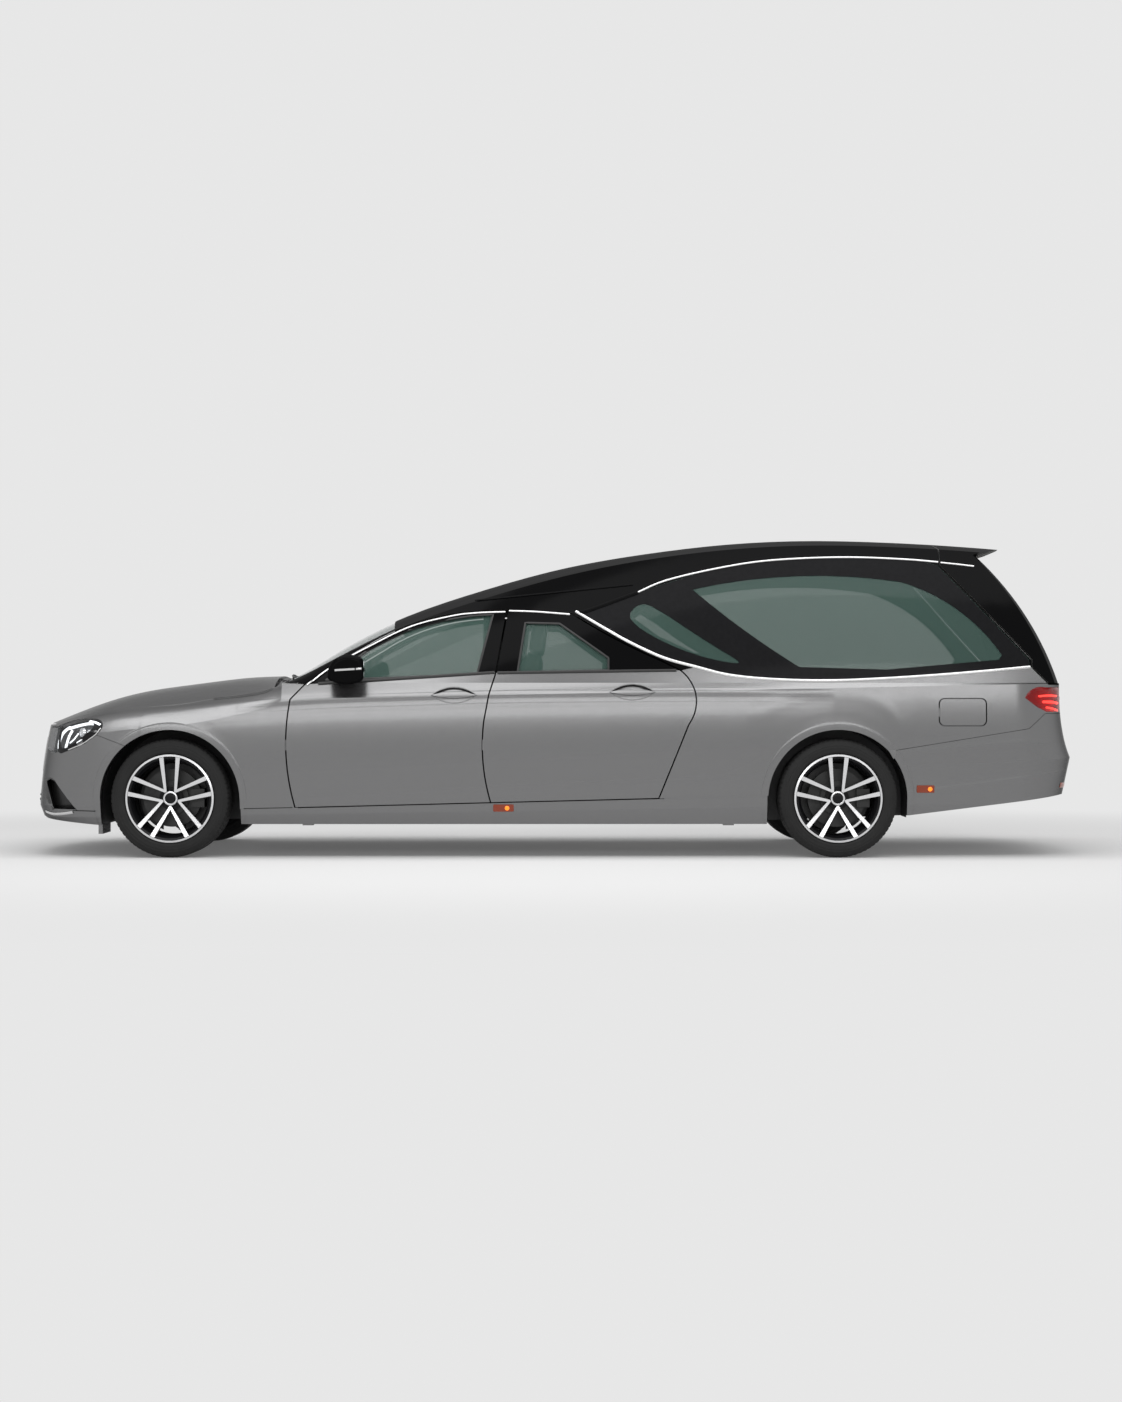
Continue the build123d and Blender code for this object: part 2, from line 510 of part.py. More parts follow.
# Engine block, subframe, exhaust and rear axle.
save(box(-2560, -1800, -280, 280, 250.4, 790), "engine")
subframe = box(-2254, -2094, -430, 430, 190, 250)
for side in (-1, 1):
    pin_y = side * KINGPIN_Y
    arm = steps_wire([(-2244, side * 420), (-2104, side * 420), (-2154, pin_y), (-2194, pin_y)],
                     lambda x, y: Vector(x, y, 192))
    subframe += extrude(Face(arm), amount=24, dir=(0, 0, 1))
    subframe += Pos(FRONT_AXLE_X, pin_y, 206 - PIN_SEAT / 2) * Cylinder(20, 28 - PIN_SEAT)
save(subframe, "front_subframe")
pipe_z = TUNNEL_Z - SEAT_GAP - 28
exhaust = Pos(-700, 230, pipe_z) * (Rot(0, 90, 0) * Cylinder(28, 2000))
exhaust += fillet(box(280, 1000, 110, 350, 190, TUNNEL_Z - SEAT_GAP).edges().filter_by(Axis.X), 24)
exhaust += Pos(1080, 230, pipe_z) * (Rot(0, 90, 0) * Cylinder(28, 180))
save(exhaust, "exhaust")


def carrier(side):
    """Hub carrier with brake caliper, centred on the wheel, out along side * Y."""
    def span(a, b):
        return sorted((side * a, side * b))

    part = cyl_y(0, 0, 58, side * -165, side * (-32 - PIN_SEAT))
    part += box(-40, 40, *span(-165, -128), -90, 190)
    part += Pos(0, side * (KINGPIN_Y - HALF_TRACK), -78) * Cylinder(18, 76)
    part += cyl_y(0, 0, 196, side * -80, side * -76) - box(-64, 64, *span(-90, -70), -200, -100)
    part += box(40, 150, *span(-78, -42), -38, 38)
    part += box(112, 186, *span(-64, 34), -52, 52)
    part -= tube_y(0, 0, 172, 84, side * -27, side * 17)
    return part


axle = cyl_y(REAR_AXLE_X, TYRE_R, 45, -650, 650) + box(1500, 1760, -150, 150, 230, 440 - SEAT_GAP)
for side in (-1, 1):
    axle += Pos(REAR_AXLE_X, side * HALF_TRACK, TYRE_R) * carrier(side)
save(axle, "rear_axle")
for side, name in ((-1, "left"), (1, "right")):
    save(Pos(FRONT_AXLE_X, side * HALF_TRACK, TYRE_R) * carrier(side), f"front_knuckle_{name}")

# Wheels: a barrel with five twin spokes, the hub and the brake disc; tyres with rounded shoulders.
RIM = [
    (236.3, 100), (250, 103), (250, 111), (239, 114), (226, 106), (213, 78), (206, 30), (206, -60),
    (217, -92), (229, -102), (239, -112), (250, -111), (250, -103), (236.3, -100), (236.3, -78), (224, -62),
    (214, -40), (214, 30), (222, 66), (236.3, 78),
]
TYRE = [
    (236.6, 97), (251.5, 100), (258, 112), ((292, 121), (320, 113)), ((332, 103), (336, 86)), (336, -86),
    ((332, -103), (320, -113)), ((292, -121), (258, -112)), (251.5, -100), (236.6, -97),
]
DISH = [(30, 46), (206, 60), (214, 80), (226, 101), (238, 105), (238, 113), (120, 93), (30, 80)]
SPOKES = 5


def spin(points, out):
    face = Face(steps_wire(points, lambda r, o: Vector(r, out * o, 0)))
    return revolve(face, Axis.Y, 360)


def wheel(out):
    dish = spin(DISH, out)
    part = spin(RIM, out) + cyl_y(0, 0, 66, out * -32, out * 58) + cyl_y(0, 0, 44, out * 50, out * 80)
    part += tube_y(0, 0, 165, 90, out * -20, out * 10) + tube_y(0, 0, 96, 50, out * -20, out * 30)
    for k in range(SPOKES):
        for twin in (-1, 1):
            bar = steps_wire([(twin * 21, 34), (twin * 35, 34), (twin * 60, 240), (twin * 35, 240)],
                             lambda x, z: Vector(x, out * 56, z))
            bar = extrude(Face(bar), amount=60, dir=(0, out, 0))
            part += Rot(0, 72 * k, 0) * (bar & dish)
    return part


for end, axle_x in (("front", FRONT_AXLE_X), ("rear", REAR_AXLE_X)):
    for side, name in ((-1, "left"), (1, "right")):
        hub = Pos(axle_x, side * HALF_TRACK, TYRE_R)
        save(hub * wheel(side), f"wheel_{end}_{name}")
        save(hub * spin(TYRE, side), f"tyre_{end}_{name}")

# Cabin: seats, dashboard, steering wheel; load deck with rails and stops.
seats = []
for side in (-1, 1):
    base = box(-720, -230, side * 380 - 255, side * 380 + 255, FLOOR_TOP_Z + SEAT_GAP, 440)
    cushion = fillet(box(-780, -190, side * 380 - 265, side * 380 + 265, 440, 590).edges(), 45)
    back = Pos(-190, side * 380, 860) * (Rot(0, 14, 0) * fillet(Box(130, 520, 640).edges(), 45))
    rest = Pos(-92, side * 380, 1262) * (Rot(0, 8, 0) * fillet(Box(90, 280, 190).edges(), 34))
    stalk = box(-130, -90, side * 380 - 60, side * 380 + 60, 1100, 1230)
    seats += (base + cushion + back + rest + stalk).solids()
save(Compound(children=seats), "front_seats")
DASH = [
    (-1429.6, 560), (-1150, 560), ((-1085, 640), (-1052, 760)), ((-1044, 880), (-1110, 930)), (-1300, 950),
    (-1429.6, 950),
]
dash = side_prism(DASH, y0=-700, y1=700)
hood = steps_wire([(-545, 880), (-215, 880), ((-380, 1000), (-545, 880))], lambda y, z: Vector(-1190, y, z))
dash += extrude(Face(hood), amount=145, dir=(1, 0, 0))
dash += fillet(box(-1200, -250, -100, 100, FLOOR_TOP_Z + SEAT_GAP, 610).edges().filter_by(Axis.X), 30)
save(dash, "dashboard")
column = Pos(0, 0, -150) * Cylinder(28, 300)
helm = Rot(0, 62, 0) * (Torus(180, 15) + Cylinder(62, 44) + Box(360, 34, 20) + column)
helm = Pos(-880, -380, 860) * helm
helm = helm - side_prism(DASH, y0=-760, y1=760, shrink=-SEAT_GAP)
save(helm, "steering_wheel")
deck = box(200, 2640, -700, 700, 800, 840)
for side in (-1, 1):
    deck += box(300, 2400, *sorted((side * 520, side * 545)), 480 + SEAT_GAP, 810)
    deck += box(260, 2600, side * 230 - 16, side * 230 + 16, 830, 872)
    for stop_x in (520, 2380):
        deck += Pos(stop_x, side * 430, 960) * Cylinder(14, 250)
    for hole_x in (900, 2100):
        deck -= Pos(hole_x, side * 380, 820) * Cylinder(6, 60)
save(deck, "load_deck")

# Door mirrors.
shell = [
    (-1268, 1010), ((-1262, 1080), (-1225, 1128)), ((-1160, 1150), (-1080, 1132)),
    ((-1066, 1070), (-1078, 1004)), ((-1170, 985), (-1268, 1010)),
]
mirror = fillet(side_prism(shell, y0=-1032, y1=-912).edges(), 28)
mirror += box(-1220, -1130, -925, -800, 985, 1016)
mirror = mirror - lower_body(-SEAT_GAP) - greenhouse(-SEAT_GAP)
save(mirror, "mirror_left")
save(mirrored(mirror), "mirror_right")
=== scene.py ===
import math

import bmesh
import bpy
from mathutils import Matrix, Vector
from mathutils.bvhtree import BVHTree
from mathutils.geometry import delaunay_2d_cdt


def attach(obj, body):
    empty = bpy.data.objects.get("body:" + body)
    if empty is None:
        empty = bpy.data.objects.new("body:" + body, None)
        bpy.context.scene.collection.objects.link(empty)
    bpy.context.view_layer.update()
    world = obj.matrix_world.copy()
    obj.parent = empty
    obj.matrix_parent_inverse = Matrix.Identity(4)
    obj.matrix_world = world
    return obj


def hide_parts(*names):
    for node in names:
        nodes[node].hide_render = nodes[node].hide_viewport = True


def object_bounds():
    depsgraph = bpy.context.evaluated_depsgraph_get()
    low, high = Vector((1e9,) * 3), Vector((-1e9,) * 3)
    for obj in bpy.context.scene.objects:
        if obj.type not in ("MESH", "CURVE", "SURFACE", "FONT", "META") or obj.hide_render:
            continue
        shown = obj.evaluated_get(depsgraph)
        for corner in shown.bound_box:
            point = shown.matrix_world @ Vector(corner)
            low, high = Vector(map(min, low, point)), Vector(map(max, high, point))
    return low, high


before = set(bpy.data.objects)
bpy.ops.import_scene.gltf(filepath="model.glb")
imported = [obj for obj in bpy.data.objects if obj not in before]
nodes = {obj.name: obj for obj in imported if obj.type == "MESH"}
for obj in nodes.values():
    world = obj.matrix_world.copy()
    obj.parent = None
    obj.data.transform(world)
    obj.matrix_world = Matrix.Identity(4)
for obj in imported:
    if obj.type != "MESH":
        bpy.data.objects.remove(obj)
cad_low, cad_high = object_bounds()

SIDES = ((-1, "left"), (1, "right"))
FRONT_X, REAR_X, HALF_TRACK, HUB_Z = -2.174, 1.616, 0.800, 0.336
ENDS = (("front", FRONT_X), ("rear", REAR_X))
ARCH_Z = 0.330
FILM = 0.0008  # lift of printed layers, and how far trim may stand past the CAD box


# Materials: each has its own tone and gloss variation, and most a surface grain.

def add(tree, kind, **values):
    """New shader node with its input values; _ stands for a space."""
    node = tree.nodes.new(f"ShaderNode{kind}")
    for key, value in values.items():
        node.inputs[key.replace("_", " ")].default_value = value
    return node


def noise(tree, coords, scale, detail, stretch):
    mapping = add(tree, "Mapping", Scale=stretch)
    tree.links.new(coords.outputs["Object"], mapping.inputs["Vector"])
    tex = add(tree, "TexNoise", Scale=scale, Detail=detail)
    tree.links.new(mapping.outputs["Vector"], tex.inputs["Vector"])
    return tex.outputs["Fac"]


def cells(tree, coords, scale):
    tex = add(tree, "TexVoronoi", Scale=scale)
    tree.links.new(coords.outputs["Object"], tex.inputs["Vector"])
    return tex.outputs["Distance"]


def between(tree, value, low, high):
    ramp = add(tree, "MapRange", To_Min=low, To_Max=high)
    tree.links.new(value, ramp.inputs["Value"])
    return ramp.outputs["Result"]


def finish_of(name, color, rough, metal=0.0, coat=0.0, coat_rough=0.05, tone=0.06, tone_scale=6.0, sway=0.04,
              grain=0.0, grain_scale=400.0, grain_kind="noise", stretch=(1, 1, 1), alpha=1.0, glow=None,
              glow_strength=0.0, specular=0.5):
    """Principled material whose colour, roughness and bump vary over the surface."""
    m = bpy.data.materials.new(name)
    m.use_nodes = True
    m.diffuse_color = (*color, alpha)
    tree = m.node_tree
    p = tree.nodes["Principled BSDF"]
    coords = add(tree, "TexCoord")
    for key, value in (("Metallic", metal), ("Coat Weight", coat), ("Coat Roughness", coat_rough),
                       ("Specular IOR Level", specular), ("Alpha", alpha)):
        p.inputs[key].default_value = value
    mix = add(tree, "Mix")
    mix.data_type = "RGBA"
    mix.inputs["A"].default_value = (*[c * (1 - tone) for c in color], 1)
    mix.inputs["B"].default_value = (*[min(1.0, c * (1 + tone)) for c in color], 1)
    tree.links.new(noise(tree, coords, tone_scale, 4.0, stretch), mix.inputs["Factor"])
    tree.links.new(mix.outputs["Result"], p.inputs["Base Color"])
    rough_low, rough_high = max(0.0, rough - sway), min(1.0, rough + sway)
    tree.links.new(between(tree, noise(tree, coords, 24.0, 5.0, stretch), rough_low, rough_high),
                   p.inputs["Roughness"])
    if grain:
        bump = add(tree, "Bump", Strength=grain, Distance=0.001)
        height = cells(tree, coords, grain_scale) if grain_kind == "cells" else noise(
            tree, coords, grain_scale, 2.0, stretch)
        tree.links.new(height, bump.inputs["Height"])
        tree.links.new(bump.outputs["Normal"], p.inputs["Normal"])
    if glow:
        p.inputs["Emission Color"].default_value = (*glow, 1)
        p.inputs["Emission Strength"].default_value = glow_strength
    return m


# Pressed lines in the body side: where each runs (x, z), its section (height above the line, rise in mm) and the
# share of it kept along x.
PRESSED = [
    {"line": [(-2.40, 0.818), (-2.13, 0.845), (-1.83, 0.870), (-1.523, 0.890), (-1.264, 0.904), (-0.80, 0.919),
              (-0.39, 0.931), (0.10, 0.938), (0.57, 0.941), (0.90, 0.942), (1.60, 0.936)],
     "section": [(-0.42, 6.6), (-0.32, 7.2), (-0.24, 7.2), (-0.16, 6.0), (-0.10, 3.8), (-0.060, 1.6), (-0.038, 0.8),
                 (-0.020, 1.7), (-0.002, 3.2), (0.002, 3.3), (0.020, 1.7), (0.050, 0.5), (0.12, 0.0)],
     "ends": [(-2.35, 0), (-1.95, 1), (0.70, 1), (1.60, 0)]},
    {"line": [(-1.80, 0.345), (-1.50, 0.362), (-0.90, 0.396), (-0.392, 0.425), (0.20, 0.457), (0.65, 0.481),
              (0.90, 0.497), (1.06, 0.545), (1.20, 0.620)],
     "section": [(-0.26, 4.2), (-0.14, 4.2), (-0.08, 3.4), (-0.035, 1.4), (-0.004, -0.4), (0.004, -0.5), (0.05, 0.2),
                 (0.12, 1.0)],
     "ends": [(-1.80, 0), (-1.70, 1), (0.90, 1), (1.20, 0)]},
    {"line": [(1.187, 0.823), (1.378, 0.919), (1.627, 0.948), (1.819, 0.900), (1.971, 0.747)],
     "section": [(-0.16, 0.0), (-0.08, 0.8), (-0.02, 2.2), (0.0, 2.4), (0.02, 2.2), (0.08, 0.8), (0.16, 0.0)],
     "ends": [(1.10, 0), (1.35, 1), (1.85, 1), (2.05, 0)]},
    {"line": [(2.005, 0.591), (2.470, 0.633), (2.930, 0.675)],
     "section": [(-0.07, 0.0), (-0.03, 0.6), (-0.003, 2.6), (0.003, 2.6), (0.03, 1.0), (0.07, 0.0)],
     "ends": [(1.98, 0), (2.12, 1), (2.85, 1), (3.05, 1)]},
    {"line": [(2.028, 0.394), (2.400, 0.440), (2.800, 0.495), (3.000, 0.520)],
     "section": [(-0.10, 2.0), (-0.03, 1.6), (-0.004, -0.2), (0.004, -0.3), (0.03, 0.3), (0.10, 0.0)],
     "ends": [(1.98, 0), (2.10, 1), (2.85, 1), (3.05, 1)]},
]

# Lips of the wheel arches: (distance from the arch's middle, rise in mm).
FLARE_SECTION = [(0.39, 4.0), (0.425, 3.6), (0.432, 3.0), (0.439, 0.4), (0.450, 0.0), (0.500, 0.0)]


def float_curve(tree, value, points, low, high):
    """Maps a value through a table of (value, result) points; low and high bound the results."""
    x0, x1 = points[0][0], points[-1][0]
    ramp = add(tree, "MapRange", From_Min=x0, From_Max=x1)
    tree.links.new(value, ramp.inputs["Value"])
    node = add(tree, "FloatCurve")
    curve = node.mapping.curves[0]
    while len(curve.points) < len(points):
        curve.points.new(0.5, 0.5)
    for point, (x, y) in zip(curve.points, points):
        point.location = ((x - x0) / (x1 - x0), (y - low) / (high - low))
    node.mapping.update()
    tree.links.new(ramp.outputs["Result"], node.inputs["Value"])
    return between(tree, node.outputs["Value"], low, high)


def arithmetic(tree, operation, a, b):
    node = add(tree, "Math")
    node.operation = operation
    for socket, value in zip(node.inputs, (a, b)):
        if isinstance(value, (int, float)):
            socket.default_value = value
        else:
            tree.links.new(value, socket)
    return node.outputs["Value"]


def press(material):
    """Adds the body's pressed lines and arch lips to a paint as relief."""
    tree = material.node_tree
    p = tree.nodes["Principled BSDF"]
    coords, split = add(tree, "TexCoord"), add(tree, "SeparateXYZ")
    tree.links.new(coords.outputs["Object"], split.inputs["Vector"])
    x, z = split.outputs["X"], split.outputs["Z"]
    total = 0.0
    for row in PRESSED:
        height = arithmetic(tree, "SUBTRACT", z, float_curve(tree, x, row["line"], 0.3, 1.0))
        rise = float_curve(tree, height, row["section"], -1.0, 9.0)
        strength = float_curve(tree, x, row["ends"], 0.0, 1.0)
        total = arithmetic(tree, "ADD", arithmetic(tree, "MULTIPLY", rise, strength), total)
    for _, axle_x in ENDS:
        along = arithmetic(tree, "SUBTRACT", x, axle_x)
        height = arithmetic(tree, "SUBTRACT", z, ARCH_Z)
        reach = arithmetic(tree, "SQRT", arithmetic(tree, "ADD", arithmetic(tree, "MULTIPLY", along, along),
                                                    arithmetic(tree, "MULTIPLY", height, height)), 0.0)
        total = arithmetic(tree, "ADD", float_curve(tree, reach, FLARE_SECTION, -1.0, 9.0), total)
    bump = add(tree, "Bump", Strength=1.0, Distance=0.001)
    tree.links.new(total, bump.inputs["Height"])
    grain = p.inputs["Normal"].links[0].from_node
    tree.links.new(bump.outputs["Normal"], grain.inputs["Normal"])


paint = finish_of("silver_grey_paint", (0.208, 0.208, 0.210), 0.25, metal=0.9, coat=0.10, coat_rough=0.10, tone=0.03,
                  tone_scale=900.0, sway=0.02, grain=0.02, grain_scale=1800.0, grain_kind="cells")
paint.node_tree.nodes["Principled BSDF"].inputs["Specular Tint"].default_value = (0.25, 0.25, 0.25, 1)
press(paint)
black = finish_of("gloss_black_paint", (0.0030, 0.0030, 0.0033), 0.34, grain=0.01, grain_scale=900.0, specular=0.0,
                  coat=0.09, coat_rough=0.12)
glass = finish_of("tinted_glass", (0.075, 0.135, 0.115), 0.08, alpha=0.46, tone=0.04, sway=0.02, coat=0.10,
                  coat_rough=0.03, specular=0.15)
screen_glass = finish_of("windscreen_glass", (0.10, 0.15, 0.14), 0.08, alpha=0.30, tone=0.04, sway=0.02, coat=0.10,
                         coat_rough=0.03, specular=0.15)
dot_band = finish_of("printed_glass_band", (0.013, 0.013, 0.014), 0.30, tone=0.2, tone_scale=40.0, specular=0.0,
                     coat=0.06, coat_rough=0.1)
chrome = finish_of("bright_trim", (0.66, 0.66, 0.66), 0.20, metal=1.0, tone=0.02, sway=0.04)
alloy_black = finish_of("alloy_black", (0.008, 0.008, 0.009), 0.30, coat=0.06, specular=0.12, grain=0.02,
                        grain_scale=700.0)
machined = finish_of("alloy_machined", (0.74, 0.74, 0.75), 0.24, metal=1.0, tone=0.05, tone_scale=60.0, sway=0.06,
                     grain=0.06, grain_scale=900.0)
rubber = finish_of("tyre_rubber", (0.017, 0.017, 0.017), 0.70, tone=0.15, tone_scale=20.0, sway=0.08, grain=0.25,
                   grain_scale=500.0, specular=0.25)
seal = finish_of("window_seal", (0.012, 0.012, 0.012), 0.55, grain=0.1, grain_scale=600.0)
plastic = finish_of("moulded_plastic", (0.016, 0.016, 0.017), 0.52, tone=0.1, grain=0.22, grain_scale=420.0,
                    grain_kind="cells")
mesh_dark = finish_of("intake_mesh", (0.010, 0.010, 0.010), 0.45, tone=0.2, grain=0.9, grain_scale=70.0,
                      grain_kind="cells")
underseal = finish_of("underseal", (0.02, 0.02, 0.021), 0.75, tone=0.2, tone_scale=9.0, grain=0.35, grain_scale=160.0)
cast = finish_of("cast_metal", (0.30, 0.30, 0.31), 0.5, metal=0.9, tone=0.12, grain=0.3, grain_scale=220.0)
# Brake iron is darkened to near black as painted shade, on the discs, wheel bolts, knuckles and rear axle.
shaded_iron = finish_of("brake_iron_painted_shade", (0.050, 0.050, 0.050), 0.42, metal=1.0, tone=0.1, tone_scale=30.0, grain=0.1,
                 grain_scale=300.0)
exhaust_steel = finish_of("exhaust_steel", (0.34, 0.32, 0.29), 0.42, metal=1.0, tone=0.2, tone_scale=12.0,
                          grain=0.1)
brushed = finish_of("brushed_steel", (0.58, 0.58, 0.58), 0.30, metal=1.0, tone=0.06, sway=0.08, grain=0.12,
                    grain_scale=60.0, stretch=(0.3, 12, 12))
carpet = finish_of("load_carpet", (0.05, 0.05, 0.052), 0.95, tone=0.25, tone_scale=200.0, grain=0.8,
                   grain_scale=700.0, specular=0.1)
leather = finish_of("seat_leather", (0.20, 0.195, 0.185), 0.48, tone=0.08, tone_scale=14.0, grain=0.35,
                    grain_scale=260.0, grain_kind="cells", specular=0.4)
stitch = finish_of("seat_stitching", (0.30, 0.29, 0.27), 0.7, tone=0.1, grain=0.4, grain_scale=900.0)
lining = finish_of("cabin_lining", (0.22, 0.22, 0.215), 0.9, tone=0.08, tone_scale=80.0, grain=0.3,
                   grain_scale=800.0, specular=0.2)
lens_clear = finish_of("lamp_lens", (0.5, 0.52, 0.54), 0.02, alpha=0.07, coat=0.2, coat_rough=0.0, tone=0.02,
                       sway=0.01, specular=0.3)
lamp_black = finish_of("lamp_housing", (0.010, 0.010, 0.011), 0.30, tone=0.1, specular=0.15)
reflector = finish_of("lamp_reflector", (0.7, 0.71, 0.73), 0.12, metal=1.0, tone=0.05)
led_white = finish_of("light_guide", (0.9, 0.92, 0.95), 0.3, tone=0.02, glow=(0.93, 0.97, 1.0), glow_strength=1.1)
lens_red = finish_of("tail_lens", (0.30, 0.004, 0.006), 0.05, alpha=0.50, coat=0.25, coat_rough=0.0, tone=0.05,
                     sway=0.02, specular=0.25)
lamp_red = finish_of("tail_housing", (0.16, 0.004, 0.006), 0.3, tone=0.15)
led_red = finish_of("tail_light_guide", (1.0, 0.12, 0.12), 0.3, tone=0.02, glow=(1.0, 0.05, 0.035),
                    glow_strength=7.0)
lens_orange = finish_of("marker_lens", (0.26, 0.030, 0.003), 0.12, coat=0.2, tone=0.1, grain=0.3, grain_scale=300.0)
led_orange = finish_of("marker_light", (0.5, 0.12, 0.01), 0.3, tone=0.02, glow=(1.0, 0.20, 0.012), glow_strength=1.6)
mirror_glass = finish_of("mirror_glass", (0.75, 0.77, 0.78), 0.03, metal=1.0, tone=0.01, sway=0.01)
display = finish_of("display_glass", (0.006, 0.007, 0.009), 0.06, coat=1.0, coat_rough=0.0, tone=0.1)


def dress(node, *materials):
    mesh = nodes[node].data
    mesh.materials.clear()
    for m in materials:
        mesh.materials.append(m)


for finish, names in (
        (paint, ("front_wings", "quarter_panels", "rear_bumper", "bonnet", "fuel_flap")),
        (black, ("side_frames", "mirror_left", "mirror_right")),
        (glass, ("side_glass", "front_glass_left", "front_glass_right", "rear_glass_left", "rear_glass_right",
                 "tailgate_glass")),
        (screen_glass, ("windscreen",)), (mesh_dark, ("grille",)), (underseal, ("front_subframe",)),
        (shaded_iron, ("rear_axle", "front_knuckle_left", "front_knuckle_right")), (cast, ("engine",)),
        (exhaust_steel, ("exhaust",)), (plastic, ("dashboard", "steering_wheel")), (brushed, ("load_deck",)),
        (lamp_black, ("headlamps",)), (lens_red, ("tail_lamps",)), (leather, ("front_seats",))):
    for node in names:
        dress(node, finish)


# The bumper's side pockets are dark inside; the roof and tailgate are lined on the cabin side.
SIDE_INTAKE = [(-2.913, 0.431), (-2.883, 0.446), (-2.847, 0.431), (-2.712, 0.271), (-2.861, 0.271),
               (-2.907, 0.406)]


def inside(point, loop):
    x, z = point
    hit = False
    for (xa, za), (xb, zb) in zip(loop, loop[1:] + loop[:1]):
        if (za > z) != (zb > z) and x < xa + (xb - xa) * (z - za) / (zb - za):
            hit = not hit
    return hit


dress("front_bumper", paint, mesh_dark)
for face in nodes["front_bumper"].data.polygons:
    face.material_index = int(inside((face.center.x, face.center.z), SIDE_INTAKE))
for node, middle in (("roof", Vector((0.6, 0, 1.1))), ("tailgate", Vector((1.9, 0, 1.2)))):
    dress(node, black, lining)
    for face in nodes[node].data.polygons:
        away = face.center - middle
        if node == "roof":
            away.x = 0.0
        face.material_index = int(face.normal.dot(away.normalized()) < -0.25)


def smooth_by_angle(obj, angle=0.5):
    """Shades a CAD node smoothly except across its sharp edges."""
    mesh = obj.data
    mesh.polygons.foreach_set("use_smooth", [True] * len(mesh.polygons))
    mesh.set_sharp_from_angle(angle=angle)


for node_object in nodes.values():
    smooth_by_angle(node_object)


# Wheels: machined spoke faces and rim lip, black barrel, brake disc in iron darkened as painted shade.
for end, axle_x in ENDS:
    for side, tag in SIDES:
        name = f"wheel_{end}_{tag}"
        dress(name, alloy_black, machined, shaded_iron)
        for face in nodes[name].data.polygons:
            out = side * face.center.y - HALF_TRACK
            r = math.hypot(face.center.x - axle_x, face.center.z - HUB_Z)
            facing = side * face.normal.y
            if -0.021 < out < 0.0305 and 0.05 < r < 0.168:
                face.material_index = 2
            elif facing > 0.9 and out > 0.079 and r > 0.045 and not (0.226 < r < 0.2385 and out > 0.1135):
                face.material_index = 1


# Building helpers. Trim ends level with the CAD box, give or take a film.
BOX_LOW, BOX_HIGH = [c - FILM for c in cad_low], [c + FILM for c in cad_high]


def place(name, mesh, body):
    """Scene object that rides on a body."""
    obj = bpy.data.objects.new(name, mesh)
    bpy.context.scene.collection.objects.link(obj)
    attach(obj, body)
    return obj


def make(name, verts, faces, body, material, smooth=True):
    mesh = bpy.data.meshes.new(name)
    mesh.from_pydata([[min(max(c, a), b) for c, a, b in zip(v, BOX_LOW, BOX_HIGH)] for v in verts], [], faces)
    bm = bmesh.new()
    bm.from_mesh(mesh)
    bmesh.ops.recalc_face_normals(bm, faces=bm.faces)
    bm.to_mesh(mesh)
    bm.free()
    mesh.materials.append(material)
    obj = place(name, mesh, body)
    if smooth:
        smooth_by_angle(obj, 0.7)
    return obj


def thicken(obj, thickness):
    thick = obj.modifiers.new("thick", "SOLIDIFY")
    thick.thickness, thick.offset = thickness, -1.0


def quads(rows, count, wrap=True, join=False, base=0):
    """Faces over rows of count points; wrap closes each row, join ties the last row to the first."""
    faces = []
    for i in range(rows if join else rows - 1):
        a, b = base + i * count, base + (i + 1) % rows * count
        for k in range(count if wrap else count - 1):
            n = (k + 1) % count
            faces.append((a + k, a + n, b + n, b + k))
    return faces


def middle_of(outline):
    return [sum(p[i] for p in outline) / len(outline) for i in (0, 1)]


def ellipse(cx, cz, rx, rz, count=48):
    turns = [2 * math.pi * k / count for k in range(count)]
    return [(cx + rx * math.cos(a), cz + rz * math.sin(a)) for a in turns]


def rounded(x0, x1, z0, z1, r, per=6):
    """Rectangle with round corners."""
    out = []
    for cx, cz, start in ((x1 - r, z1 - r, 0), (x0 + r, z1 - r, 90), (x0 + r, z0 + r, 180), (x1 - r, z0 + r, 270)):
        for k in range(per + 1):
            a = math.radians(start + 90 * k / per)
            out.append((cx + r * math.cos(a), cz + r * math.sin(a)))
    return out


def spline(a, b, c, d, step):
    """Points of a Catmull-Rom curve from b on, short of c."""
    n = max(1, round((c - b).length / step))
    return [0.5 * (2 * b + (c - a) * t + (2 * a - 5 * b + 4 * c - d) * t * t + (3 * b - a - 3 * c + d) * t ** 3)
            for t in (k / n for k in range(n))]


def smooth_path(points, step):
    pts = [Vector(p) for p in points]
    pts = [2 * pts[0] - pts[1], *pts, 2 * pts[-1] - pts[-2]]
    out = []
    for run in zip(pts, pts[1:], pts[2:], pts[3:]):
        out += spline(*run, step)
    return [*out, pts[-2]]


def closed_curve(points, step=0.012):
    pts = [Vector(p) for p in points]
    count = len(pts)
    out = []
    for i in range(count):
        out += spline(pts[i - 1], pts[i], pts[(i + 1) % count], pts[(i + 2) % count], step)
    return [(p.x, p.y) for p in out]


